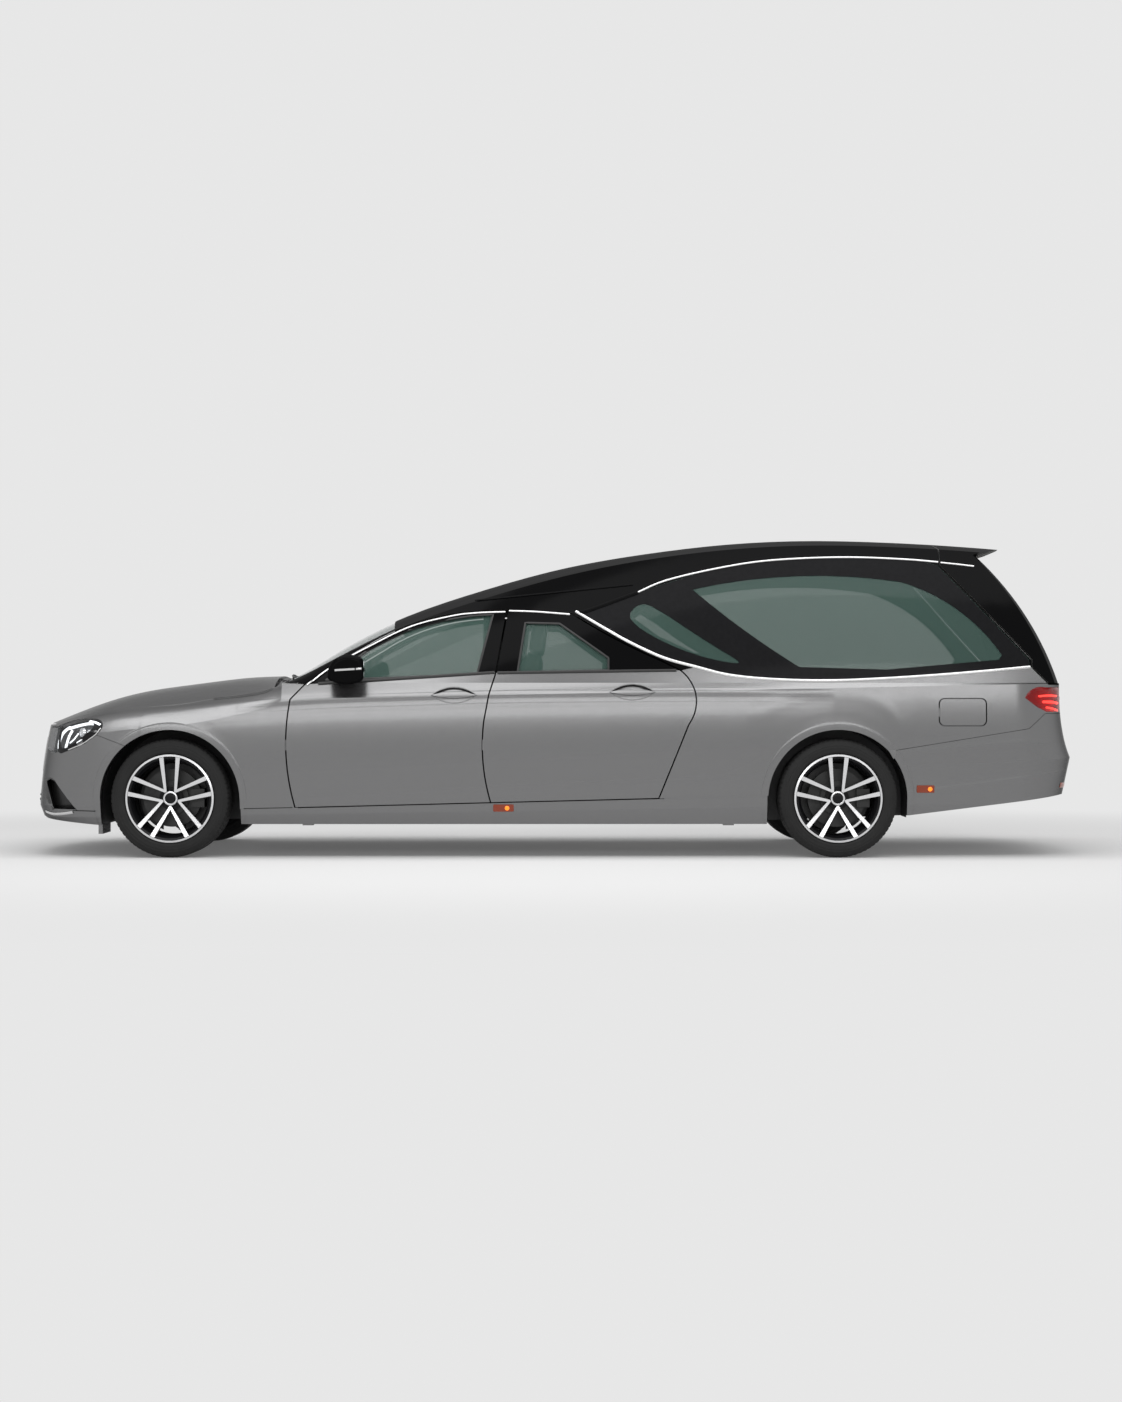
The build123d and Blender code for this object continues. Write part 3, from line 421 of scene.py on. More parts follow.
def arcs(steps, gap=0.014):
    """Closed outline in side view; a pair of pairs is an arc through the first to the second."""
    out = []
    last = Vector(steps[0])
    for step in list(steps[1:]) + [steps[0]]:
        if isinstance(step[0], tuple):
            through, end = Vector(step[0]), Vector(step[1])
            count = max(3, round(((through - last).length + (end - through).length) / gap))
            a, b = through - last, end - last
            d = 2 * (a.x * b.y - a.y * b.x)
            c = last + Vector((b.y * a.length_squared - a.y * b.length_squared,
                               a.x * b.length_squared - b.x * a.length_squared)) / d
            start = math.atan2(last.y - c.y, last.x - c.x)
            turn = math.atan2(end.y - c.y, end.x - c.x) - start
            turn = -((-turn) % (2 * math.pi)) if d < 0 else turn % (2 * math.pi)
            r = (last - c).length
            out += [(c.x + r * math.cos(start + turn * k / count), c.y + r * math.sin(start + turn * k / count))
                    for k in range(count)]
        else:
            end = Vector(step)
            count = max(1, round((end - last).length / gap))
            out += [tuple(last.lerp(end, k / count)) for k in range(count)]
        last = end
    return out


class Skin:
    """Outer surface of some CAD nodes, looked up along an axis: the point and its normal, or None."""

    def __init__(self, *names):
        verts, polys = [], []
        for n in names:
            base = len(verts)
            verts += [v.co.copy() for v in nodes[n].data.vertices]
            polys += [[base + i for i in f.vertices] for f in nodes[n].data.polygons]
        self.tree = BVHTree.FromPolygons(verts, polys)

    def look(self, start, way):
        way = Vector(way)
        hit, normal, _, _ = self.tree.ray_cast(Vector(start), way)
        return None if hit is None else (hit, normal if normal.dot(way) < 0 else -normal)

    def at(self, x, z, side):
        return self.look((x, side * 2.0, z), (0, -side, 0))

    def above(self, x, y):
        return self.look((x, y, 3.0), (0, 0, -1))

    def ahead(self, y, z, way=1):
        """Seen from the front, or from behind with way -1."""
        return self.look((-4.0 * way, y, z), (way, 0, 0))

    def level(self, y0, width, steps, z, way=1):
        return [self.ahead(y0 + width * k / steps, z, way) for k in range(steps + 1)]


def sweep(name, frames, profile, body, material):
    """Profile points (across, out) carried along frames of (point, across, out), with both ends closed."""
    count = len(profile)
    verts = [point + across * u + out * v for point, across, out in frames for u, v in profile]
    ends = [tuple(range(count)), tuple(range(len(verts) - count, len(verts)))]
    return make(name, verts, quads(len(frames), count) + ends, body, material)


def along_at(points, i):
    return (points[min(len(points) - 1, i + 1)] - points[max(0, i - 1)]).normalized()


def frames_on(samples, side):
    """Frames along points of a body side, with their normals evened out."""
    points = [point for point, _ in samples]
    frames = []
    for i, point in enumerate(points):
        out = sum((n for _, n in samples[max(0, i - 2):i + 3]), Vector()).normalized()
        frames.append((point, out.cross(along_at(points, i)).normalized() * -side, out))
    return frames


def ribbon(name, points, side, skin, profile, body, material, step=0.02):
    """Section along a line on a body side; each point takes the outermost of three look-ups."""
    samples = []
    for p in smooth_path(points, step):
        near = [(d, skin.at(p.x, p.y + d, side)) for d in (0.0, 0.006, -0.006)]
        near = [(d, h) for d, h in near if h]
        if near:
            d, (hit, normal) = max(near, key=lambda entry: side * entry[1][0].y)
            samples.append((hit - Vector((0, 0, d)), normal))
    return sweep(name, frames_on(samples, side), profile, body, material)


def trail(name, hits, profile, body, material):
    """Section carried along surface points looked up from any direction."""
    samples = [h for h in hits if h]
    points = [point for point, _ in samples]
    frames = [(point, normal.cross(along_at(points, i)).normalized(), normal)
              for i, (point, normal) in enumerate(samples)]
    return sweep(name, frames, profile, body, material)


def bead(width, height, sink=0.001):
    """Half-round trim section."""
    w = width / 2
    return [(-w, -sink), (-w, height * 0.4), (-w * 0.6, height * 0.85), (0, height), (w * 0.6, height * 0.85),
            (w, height * 0.4), (w, -sink)]


def tube(name, path, radius, body, material, sides=10):
    frames = []
    out = along_at(path, 0).orthogonal().normalized()
    for i, point in enumerate(path):
        along = along_at(path, i)
        out = (out - along * out.dot(along)).normalized()
        frames.append((point, along.cross(out).normalized(), out))
    return sweep(name, frames, ellipse(0, 0, radius, radius, sides), body, material)


def patch(name, outline, side, skin, rings, body, material):
    """Panel in an outline on the skin; rings are (scale to the middle, lift)."""
    cx, cz = middle_of(outline)
    count = len(outline)
    verts = []
    for scale, lift in rings:
        for x, z in outline:
            hit = skin.at(cx + (x - cx) * scale, cz + (z - cz) * scale, side)
            hit = hit or skin.at(cx + (x - cx) * scale * 0.97, cz + (z - cz) * scale * 0.97, side)
            verts.append(hit[0] + hit[1] * lift)
    hit = skin.at(cx, cz, side)
    verts.append(hit[0] + hit[1] * rings[-1][1])
    last = (len(rings) - 1) * count
    fan = [(last + k, last + (k + 1) % count, len(verts) - 1) for k in range(count)]
    return make(name, verts, quads(len(rings), count) + fan, body, material)


def sheet(name, outline, holes, side, skin, material, pitch=0.045):
    """Film on the body's skin inside an outline, with holes."""
    def covered(q):
        return inside(q, outline) and not any(inside(q, h) for h in holes)

    points, edges = [], []
    for loop in (outline, *holes):
        base = len(points)
        points += [Vector(p) for p in loop]
        edges += [(base + i, base + (i + 1) % len(loop)) for i in range(len(loop))]
    x0, x1 = min(p[0] for p in outline), max(p[0] for p in outline)
    z0, z1 = min(p[1] for p in outline), max(p[1] for p in outline)
    border = list(points)
    for i in range(1, int((x1 - x0) / pitch) + 1):
        for k in range(1, int((z1 - z0) / pitch) + 1):
            q = Vector((x0 + i * pitch, z0 + k * pitch))
            if covered(q) and min((q - b).length_squared for b in border) > (0.3 * pitch) ** 2:
                points.append(q)
    flat, _, faces = delaunay_2d_cdt(points, edges, [], 1, 1e-6)[:3]
    hits = [skin.at(q.x, q.y, side) for q in flat]
    kept = [f for f in faces if covered(sum((flat[i] for i in f), Vector((0, 0))) / len(f))]
    used = sorted({i for f in kept for i in f if hits[i]})
    index = {old: new for new, old in enumerate(used)}
    kept = [tuple(index[i] for i in f) for f in kept if all(hits[i] for i in f)]
    return make(name, [hits[i][0] + hits[i][1] * FILM for i in used], kept, "body", material)


def lathe(name, profile, centre, out, body, material, segments=48, ridge=None):
    """Profile of (radius, offset) turned about an axis along Y; ridge(k, i) trims a radius."""
    verts = []
    for k in range(segments):
        a = 2 * math.pi * k / segments
        for i, (r, o) in enumerate(profile):
            r = r - (ridge(k, i) if ridge else 0.0)
            verts.append(Vector((centre[0] + r * math.cos(a), centre[1] + out * o, centre[2] + r * math.sin(a))))
    return make(name, verts, quads(segments, len(profile), wrap=False, join=True), body, material)


FLAT, UPRIGHT = ((1, 0, 0), (0, 1, 0)), ((0, 1, 0), (0, 0, 1))


def slab(name, outline, middle, axes, thick, bevel, material, sink=0.0, body="body"):
    """Panel cut to an outline of (across, up) points about a middle, facing out, with a bevelled edge."""
    across, up = (Vector(axis).normalized() for axis in axes)
    out = across.cross(up)
    count = len(outline)
    cu, cv = middle_of(outline)
    half = max(max(abs(p[0] - cu), abs(p[1] - cv)) for p in outline)
    verts = []
    for inset, lift in ((0.0, -sink), (0.0, thick - bevel), (bevel * 0.4, thick - bevel * 0.3), (bevel, thick)):
        scale = 1 - inset / half
        verts += [Vector(middle) + across * (cu + (u - cu) * scale) + up * (cv + (v - cv) * scale) + out * lift
                  for u, v in outline]
    caps = [tuple(range(3 * count, 4 * count)), tuple(range(count))]
    return make(name, verts, quads(4, count) + caps, body, material)


# Doors: painted below the belt, black above it, trimmed inside.
def belt(x):
    return 0.983 + 0.0637 * (x + 1.411) if x < -0.32 else 1.0495 + 0.0134 * (x + 0.32)


for end, x0 in (("front", -0.9), ("rear", 0.2)):
    for side, tag in SIDES:
        node = f"{end}_door_{tag}"
        mesh = nodes[node].data.copy()
        mesh.materials.clear()
        for m in (paint, black, lining):
            mesh.materials.append(m)
        bm = bmesh.new()
        bm.from_mesh(mesh)
        slope = belt(x0 + 0.1) - belt(x0)
        bmesh.ops.bisect_plane(bm, geom=[*bm.verts, *bm.edges, *bm.faces], plane_co=(x0, 0, belt(x0)),
                               plane_no=(-slope, 0, 0.1))
        for face in bm.faces:
            centre = face.calc_center_median()
            if centre.z > belt(centre.x):
                face.material_index = 1
            else:
                face.material_index = 2 if face.normal.y * side < -0.3 else 0
        bm.to_mesh(mesh)
        bm.free()
        panel = place(f"{node}_panel", mesh, f"{node}_body")
        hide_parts(node)
        smooth_by_angle(panel)


# Sills show body colour, the cabin floor is lined; the rest of the floor stays sealed black.
dress("floor_pan", underseal, paint, lining)
for face in nodes["floor_pan"].data.polygons:
    centre, normal = face.center, face.normal
    if abs(centre.y) > 0.80 and centre.z < 0.36 and normal.y * centre.y > 0.25:
        face.material_index = 1
    elif normal.z > 0.5 and -1.43 < centre.x < 1.2 and centre.z < 0.5:
        face.material_index = 2


# Black printed border of the bonded side windows.
GLASS_LINE = arcs([
    (0.162, 1.3925), ((0.438, 1.2245), (0.8125, 1.0845)), ((1.308, 1.0105), (1.893, 1.0185)), (2.478, 1.0615),
    (2.7145, 1.0855), (2.7145, 1.1255), (2.2112, 1.6677), (2.1195, 1.6955), ((1.500, 1.7145), (0.8775, 1.6375)),
    (0.4885, 1.5137), (0.2003, 1.4053)])
CLEAR_LINES = [
    closed_curve([(0.442, 1.365), (0.462, 1.419), (0.530, 1.443), (0.640, 1.385), (0.770, 1.297), (0.923, 1.197),
                  (1.055, 1.108), (0.893, 1.130), (0.694, 1.197), (0.515, 1.292)]),
    arcs([(0.800, 1.528), ((1.420, 1.606), (2.000, 1.570)), ((2.130, 1.520), (2.560, 1.150)), (2.540, 1.124),
          (1.900, 1.068), (1.400, 1.082), ((1.080, 1.300), (0.800, 1.528))])]
glass_skin = Skin("side_glass")
for side, tag in SIDES:
    sheet(f"side_glass_band_{tag}", GLASS_LINE, CLEAR_LINES, side, glass_skin, dot_band)


# Bright strips along the windows, split where the panels part; seals at the belt and round the panes.
DOOR_STRIP = [(-1.398, 0.980), (-1.274, 1.081), (-1.074, 1.195), (-0.829, 1.317), (-0.590, 1.379), (-0.440, 1.397),
              (-0.276, 1.402)]
DOOR_STRIP_REAR = [(-0.254, 1.408), (-0.100, 1.402), (0.095, 1.386)]
WAIST_STRIP = [(0.128, 1.404), (0.294, 1.304), (0.437, 1.223), (0.625, 1.136), (0.812, 1.083), (1.017, 1.033),
               (1.308, 1.009), (1.600, 1.005), (1.893, 1.017), (2.186, 1.036), (2.478, 1.060), (2.722, 1.083)]
UPPER_STRIP = [(0.488, 1.515), (0.637, 1.579), (0.877, 1.639), (1.157, 1.689), (1.436, 1.711), (1.736, 1.717),
               (2.036, 1.705), (2.218, 1.690)]
UPPER_STRIP_REAR = [(2.232, 1.687), (2.330, 1.677), (2.425, 1.666)]
BOW_STRIP = [(0.150, 1.397), (0.199, 1.408), (0.340, 1.459), (0.484, 1.513)]
PANES = {"front": [(-1.290, 1.012), (-0.437, 1.045), (-0.352, 1.384), (-0.470, 1.378), (-0.591, 1.360),
                   (-0.831, 1.298), (-1.078, 1.172)],
         "rear": [(-0.200, 1.056), (0.311, 1.066), (0.311, 1.135), (0.036, 1.329), (-0.158, 1.335)]}
BELTS = {"front": (-1.335, -0.334), "rear": (-0.318, 0.700)}
gate_skin = Skin("tailgate")
fixed = Skin("roof", "side_glass", "quarter_panels", "side_frames"), "body"
for side, tag in SIDES:
    doors = {end: (Skin(f"{end}_door_{tag}", f"{end}_glass_{tag}"), f"{end}_door_{tag}_body")
             for end in ("front", "rear")}
    for name, line, (skin, body), width, finish in (
            ("door_strip_front", DOOR_STRIP, doors["front"], 0.011, chrome),
            ("door_strip_rear", DOOR_STRIP_REAR, doors["rear"], 0.011, chrome),
            ("waist_strip", WAIST_STRIP, fixed, 0.015, chrome),
            ("upper_strip", UPPER_STRIP, fixed, 0.011, chrome),
            ("upper_strip_rear", UPPER_STRIP_REAR, (gate_skin, "tailgate_body"), 0.010, chrome),
            ("bow_strip", BOW_STRIP, fixed, 0.022, black)):
        ribbon(f"{name}_{tag}", line, side, skin, bead(width, 0.005), body, finish)
    for end, (x0, x1) in BELTS.items():
        skin, body = doors[end]
        line = [(x, belt(x)) for x in (x0 + (x1 - x0) * k / 6 for k in range(7))]
        ribbon(f"belt_seal_{end}_{tag}", line, side, skin, bead(0.016, 0.004), body, seal)
    for end, outline in PANES.items():
        skin, body = doors[end]
        loop = outline + outline[:1]
        dense = [Vector(a).lerp(Vector(b), k / 12) for a, b in zip(loop, loop[1:]) for k in range(12)]
        cx, cz = middle_of(outline)
        grown = [(cx + (p.x - cx) * 1.012, cz + (p.y - cz) * 1.02) for p in dense]
        samples = [s for s in (skin.at(x, z, side) for x, z in grown + grown[:1]) if s]
        sweep(f"{end}_pane_seal_{tag}", frames_on(samples, side), bead(0.012, 0.003), body, seal)


# Dark wheel arch liners with an inner wall: rows across, then the heights of the foot behind the wheel.
LINER_R = 0.3945
LINERS = {"front": ((0.478, 0.50, 0.55, 0.60, 0.66, 0.72, 0.78, 0.838), (0.195, 0.200)),
          "rear": ((0.626, 0.66, 0.70, 0.74, 0.78, 0.838), (0.226, 0.228))}
for end, axle_x in ENDS:
    rows, feet = LINERS[end]
    count = len(rows)
    loop = [(LINER_R, z) for z in feet]
    loop += [(LINER_R * math.cos(math.pi * k / 44), ARCH_Z + LINER_R * math.sin(math.pi * k / 44)) for k in range(45)]
    loop += [(-LINER_R, 0.200), (-LINER_R, 0.195)]
    for side, tag in SIDES:
        verts = [(axle_x + dx * (1 - (0.0 if i % 2 else 0.0015 / LINER_R)), side * y, z)
                 for dx, z in loop for i, y in enumerate(rows)]
        faces = quads(len(loop), count, wrap=False) + [tuple(k * count for k in range(1, len(loop) - 1))]
        make(f"arch_liner_{end}_{tag}", verts, faces, "body", plastic)


# Tyres: grooved tread with shoulder slots, ribbed side walls. Profiles are (radius, offset).
GROOVES = ((0.058, 0.008), (0.019, 0.009), (-0.019, 0.009), (-0.058, 0.008))
TREAD_R, GROOVE_R = 0.336, 0.3290
WALL = [(0.2366, 0.092), (0.2372, 0.097), (0.2515, 0.100), (0.2545, 0.107), (0.2580, 0.1120), (0.2640, 0.1150),
        (0.2660, 0.1164), (0.2700, 0.1172), (0.2720, 0.1168), (0.2840, 0.1196), (0.2920, 0.1207), (0.2935, 0.1198),
        (0.2990, 0.1196), (0.3005, 0.1204), (0.3080, 0.1185), (0.3095, 0.1172), (0.3200, 0.1130), (0.3265, 0.1085),
        (0.3315, 0.1030), (0.3342, 0.0960), (0.3356, 0.0860)]
profile = list(WALL)
for centre, width in GROOVES:
    half = width / 2
    profile += [(TREAD_R, centre + half + 0.0060), (TREAD_R, centre + half + 0.0008), (GROOVE_R, centre + half * 0.7),
                (GROOVE_R, centre - half * 0.7), (TREAD_R, centre - half - 0.0008), (TREAD_R, centre - half - 0.0060)]
profile += [(r, -o) for r, o in reversed(WALL)]
shoulder_rows = {i for i, (r, o) in enumerate(profile) if 0.068 < abs(o) < 0.1035 and r > 0.331}
rib_rows = {i for i, (r, o) in enumerate(profile) if abs(o) < 0.052 and r > 0.335 and abs(abs(o) - 0.0385) < 0.02}


def tread_cut(k, i):
    if i in shoulder_rows and k % 5 == 0:
        return 0.0045
    return 0.0030 if i in rib_rows and k % 5 == 2 else 0.0


CAP = [(0.0, 0.0885), (0.016, 0.0885), (0.024, 0.0875), (0.0285, 0.0855), (0.030, 0.082), (0.030, 0.070)]
CAP_RING = [(0.0305, 0.074), (0.0305, 0.0865), (0.033, 0.0885), (0.038, 0.0880), (0.0405, 0.0855), (0.0405, 0.074)]
BOLT = ((0.0095, 0.056), (0.0095, 0.0685), (0.0080, 0.0700), (0.0040, 0.0700), (0.0036, 0.0660))
BOLT_CIRCLE = 0.056
for end, axle_x in ENDS:
    for side, tag in SIDES:
        centre = (axle_x, side * HALF_TRACK, HUB_Z)
        body = f"wheel_{end}_{tag}_body"
        tyre = lathe(f"tyre_tread_{end}_{tag}", profile, centre, side, body, rubber, segments=360,
                     ridge=tread_cut)
        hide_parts(f"tyre_{end}_{tag}")
        lathe(f"wheel_cap_{end}_{tag}", CAP, centre, side, body, alloy_black)
        lathe(f"cap_ring_{end}_{tag}", CAP_RING, centre, side, body, machined)
        verts, faces = [], []
        for n in range(5):
            a = math.radians(90 + 36 + 72 * n)
            cx, cz = centre[0] + BOLT_CIRCLE * math.cos(a), centre[2] + BOLT_CIRCLE * math.sin(a)
            faces += quads(len(BOLT), 6, base=len(verts))
            for r, o in BOLT:
                verts += [(x, centre[1] + side * o, z) for x, z in ellipse(cx, cz, r, r, 6)]
            faces.append(tuple(range(len(verts) - 6, len(verts))))
        make(f"wheel_bolts_{end}_{tag}", verts, faces, body, shaded_iron, smooth=False)


# Head and tail lamps: clear shell, dark bowl, light guides.
def lamp_shell(node, side, facing):
    bm = bmesh.new()
    bm.from_mesh(nodes[node].data)
    keep = Vector(facing)
    drop = [f for f in bm.faces if f.calc_center_median().y * side < 0 or f.normal.dot(keep) < 0.3
            or abs(f.normal.y) < 0.02]
    bmesh.ops.delete(bm, geom=drop, context="FACES")
    return bm


def add_shell(name, bm, material):
    mesh = bpy.data.meshes.new(name)
    bm.to_mesh(mesh)
    bm.free()
    mesh.materials.append(material)
    obj = place(name, mesh, "body")
    smooth_by_angle(obj)
    return obj


def add_lens(name, node, side, facing, material):
    lens = add_shell(name, lamp_shell(node, side, facing), material)
    thicken(lens, 0.003)
    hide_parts(node)


def add_bowl(name, node, side, facing, depth, material):
    """The lens faces sunk into the lamp and joined to their rim, in an order that every run repeats."""
    bm = lamp_shell(node, side, facing)
    bmesh.ops.remove_doubles(bm, verts=bm.verts, dist=1e-5)
    outer = list(bm.faces)
    made = bmesh.ops.extrude_face_region(bm, geom=outer)
    sunk = {g: g.normal.copy() for g in made["geom"] if isinstance(g, bmesh.types.BMVert)}
    for v, normal in sunk.items():
        v.co -= normal * depth
    bmesh.ops.delete(bm, geom=[f for f in outer if f.is_valid], context="FACES_ONLY")
    bmesh.ops.recalc_face_normals(bm, faces=bm.faces)
    for i, face in enumerate(sorted(bm.faces, key=lambda f: tuple(f.calc_center_median()))):
        face.index = i
    bm.faces.sort()
    add_shell(name, bm, material)


def add_guides(prefix, lines, skin, side, tag, sink, material):
    for name, line, r in lines:
        hits = [skin.at(p.x, p.y, side) for p in smooth_path(line, 0.008)]
        tube(f"{prefix}_{name}_{tag}", [h[0] - h[1] * sink for h in hits if h], r, "body", material)


lamp_skin, tail_skin = Skin("headlamps"), Skin("tail_lamps")
HEAD_GUIDES = (
    ("brow", [(-2.592, 0.762), (-2.650, 0.770), (-2.749, 0.746), (-2.808, 0.712), (-2.836, 0.664), (-2.840, 0.618)],
     0.0080),
    ("hook", [(-2.748, 0.722), (-2.772, 0.680), (-2.790, 0.622)], 0.0070),
    ("prong", [(-2.706, 0.706), (-2.735, 0.672), (-2.762, 0.651)], 0.0040),
    ("edge", [(-2.610, 0.722), (-2.690, 0.668), (-2.770, 0.626), (-2.830, 0.606)], 0.0030))
TAIL_GUIDES = (
    ("top", [(2.772, 0.917), (2.840, 0.921), (2.905, 0.918)], 0.0060),
    ("middle", [(2.800, 0.885), (2.860, 0.884), (2.912, 0.877)], 0.0075),
    ("low", [(2.822, 0.853), (2.868, 0.846), (2.908, 0.836)], 0.0060))
PROJECTORS = (("outer", -2.685, 0.712, 0.019), ("inner", -2.636, 0.730, 0.012))
PROJECTOR_TURNS = [2 * math.pi * k / 28 for k in range(28)]
for side, tag in SIDES:
    facing = (-0.6, side * 0.65, 0.25)
    add_lens(f"headlamp_lens_{tag}", "headlamps", side, facing, lens_clear)
    add_bowl(f"headlamp_bowl_{tag}", "headlamps", side, facing, 0.034, lamp_black)
    add_guides("headlamp", HEAD_GUIDES, lamp_skin, side, tag, 0.013, led_white)
    for name, x, z, r in PROJECTORS:
        hit = lamp_skin.at(x, z, side)
        if hit:
            point, normal = hit[0] - hit[1] * 0.030, hit[1]
            across = normal.cross(Vector((0, 0, 1))).normalized()
            up = across.cross(normal)
            stations = ((r * 1.25, 0.0), (r * 1.3, 0.010), (r * 1.12, 0.013), (r, 0.009), (r * 0.9, 0.011),
                        (r * 0.5, 0.016), (0.0005, 0.0175))
            verts = [point + across * rr * math.cos(a) + up * rr * math.sin(a) + normal * oo
                     for rr, oo in stations for a in PROJECTOR_TURNS]
            make(f"projector_{name}_{tag}", verts, quads(len(stations), len(PROJECTOR_TURNS)), "body", reflector)
    facing = (0.6, side * 0.7, 0.0)
    add_lens(f"tail_lens_{tag}", "tail_lamps", side, facing, lens_red)
    add_bowl(f"tail_bowl_{tag}", "tail_lamps", side, facing, 0.030, lamp_red)
    add_guides("tail_guide", TAIL_GUIDES, tail_skin, side, tag, 0.011, led_red)


# Side markers and the rims of the handle pockets.
sill_skin, bumper_skin = Skin("floor_pan"), Skin("rear_bumper")
MARKER_RINGS = [(1.0, -0.001), (1.0, 0.004), (0.94, 0.007), (0.8, 0.0075)]
BULB_RINGS = [(1.0, 0.0072), (0.8, 0.0095), (0.4, 0.0105)]
for side, tag in SIDES:
    for name, x0, x1, z0, z1, skin, lit in (("sill", -0.341, -0.224, 0.262, 0.302, sill_skin, -0.262),
                                            ("bumper", 2.064, 2.165, 0.368, 0.410, bumper_skin, 2.140)):
        patch(f"marker_{name}_{tag}", rounded(x0, x1, z0, z1, 0.006), side, skin, MARKER_RINGS, "body", lens_orange)
        patch(f"marker_bulb_{name}_{tag}", ellipse(lit, (z0 + z1) / 2, 0.013, 0.013, 24), side, skin, BULB_RINGS,
              "body", led_orange)
    for end, cx, cz in (("front", -0.562, 0.923), ("rear", 0.449, 0.940)):
        skin = Skin(f"{end}_door_{tag}")
        rim = arcs([(cx - 0.126, cz), ((cx, cz - 0.0455), (cx + 0.126, cz)), ((cx, cz + 0.0455), (cx - 0.126, cz))])
        samples = [skin.at(x, z, side) for x, z in rim + rim[:1]]
        sweep(f"handle_rim_{end}_{tag}", frames_on([h for h in samples if h], side), bead(0.005, 0.0022),
              f"{end}_door_{tag}_body", paint)


# Scuttle cover between bonnet and windscreen, inside the sweep of the bonnet's rear edge; wiper arms.
PIVOT_X, PIVOT_Z = -1.575, 1.000
COVER_X, COVER_HALF = -1.600, 0.742
bonnet_skin, screen_skin, pillar_skin = Skin("bonnet"), Skin("windscreen"), Skin("windscreen", "roof")
rear_edge = [v.co for v in nodes["bonnet"].data.vertices if v.co.x > -1.68]
for tag, y0, y1 in (("left", -COVER_HALF, -0.485), ("middle", -0.435, 0.435), ("right", 0.485, COVER_HALF)):
    verts = []
    rows = round((y1 - y0) / 0.02)
    for k in range(rows + 1):
        y = y0 + (y1 - y0) * k / rows
        near = [math.hypot(c.x - PIVOT_X, c.z - PIVOT_Z) for c in rear_edge if abs(c.y - y) < 0.05]
        room = min(near, default=0.04) - 0.007
        top = bonnet_skin.above(-1.636, max(-0.72, min(0.72, y)))[0].z
        foot_x = -1.524 - 0.058 * (1 - (y / COVER_HALF) ** 2)
        foot = pillar_skin.above(foot_x + 0.010, y)
        foot_z = foot[0].z if foot else 0.990
        for t in (i / 6 for i in range(7)):
            x = COVER_X + (foot_x + 0.008 - COVER_X) * t
            z = (top - 0.010) * (1 - t) + (foot_z - 0.003) * t + 0.006 * math.sin(math.pi * t)
            r = math.hypot(x - PIVOT_X, z - PIVOT_Z)
            if x < PIVOT_X + 0.012 and r > room:
                x, z = PIVOT_X + (x - PIVOT_X) * room / r, PIVOT_Z + (z - PIVOT_Z) * room / r
            verts.append((x, y, z))
    cover = make(f"scuttle_cover_{tag}", verts, quads(rows + 1, 7, wrap=False), "body", plastic)
    thicken(cover, 0.002)
BLADE = [(-0.004, 0.001), (-0.006, 0.008), (0.0, 0.016), (0.006, 0.008), (0.004, 0.001)]
for tag, y0, y1 in (("left", -0.600, 0.020), ("right", 0.060, 0.620)):
    across = [y0 + (y1 - y0) * k / 24 for k in range(25)]
    line = [screen_skin.above(-1.490 - 0.052 * (1 - (y / 0.706) ** 2), y) for y in across]
    line = [h for h in line if h]
    trail(f"wiper_blade_{tag}", line, BLADE, "body", seal)
    arm = [h[0] + h[1] * (0.020 - 0.006 * abs(k - 12) / 12) for k, h in enumerate(line)][4:20]
    tube(f"wiper_arm_{tag}", arm, 0.0045, "body", plastic, sides=8)


# Shut lines as dark rubber beads, painted shade of the panel gaps; lamp and intake bezels, mirror trim, filler at the
# rear arch, roof crease.
wing_skin = Skin("front_wings", "front_bumper", "floor_pan")
crown_skin, quarter_skin = Skin("roof"), Skin("quarter_panels")
lamp_ring_skin = Skin("front_wings", "front_bumper", "headlamps", "bonnet")
# Runs of the dark beads painted along the bonnet, wing and bumper gaps as their shade.
SHUT_LINE_SHADES = {
    "bonnet": [(-2.477, 0.850), (-2.200, 0.880), (-1.950, 0.905), (-1.780, 0.922), (-1.688, 0.934), (-1.640, 0.948),
               (-1.606, 0.963)],
    "wing_foot": [(-1.757, 0.278), (-1.615, 0.281), (-1.480, 0.284)],
    "bumper_foot": [(-2.735, 0.265), (-2.660, 0.264), (-2.600, 0.263)]}
LAMP_BEZEL = closed_curve([(-2.557, 0.747), (-2.578, 0.778), (-2.637, 0.788), (-2.743, 0.768), (-2.815, 0.735),
                           (-2.825, 0.600), (-2.767, 0.604), (-2.672, 0.640), (-2.625, 0.670), (-2.578, 0.706)])
LAMP_HOLE = closed_curve([(-2.612, 0.756), (-2.650, 0.772), (-2.743, 0.755), (-2.800, 0.725), (-2.812, 0.640),
                          (-2.790, 0.618), (-2.735, 0.645), (-2.680, 0.680), (-2.625, 0.722)])
LAMP_EDGE = [(-2.566, 0.735), (-2.590, 0.702), (-2.628, 0.674), (-2.674, 0.645), (-2.760, 0.611)]
LAMP_TIP = [(-2.572, 0.754), (-2.600, 0.766), (-2.640, 0.774)]
INTAKE_BEZEL = [(-2.936, 0.420), (-2.925, 0.436), (-2.900, 0.449), (-2.878, 0.450), (-2.852, 0.437), (-2.735, 0.300),
                (-2.704, 0.264), (-2.870, 0.264), (-2.915, 0.330), (-2.934, 0.395)]
INTAKE_TRIM = [(-2.925, 0.252), (-2.869, 0.242), (-2.800, 0.246), (-2.735, 0.256)]
MIRROR_STRIPS = {"front": [(-1.227, 1.062), (-1.170, 1.0655), (-1.115, 1.0685)],
                 "rear": [(-1.108, 1.069), (-1.092, 1.070), (-1.0775, 1.071)]}
ARCH_FILLER = [(1.897, 0.613), (1.941, 0.613), (1.941, 0.575), (1.928, 0.560), (1.912, 0.588)]
ROOF_CREASE = [(-0.455, 1.472), (0.0, 1.515), (0.457, 1.559)]
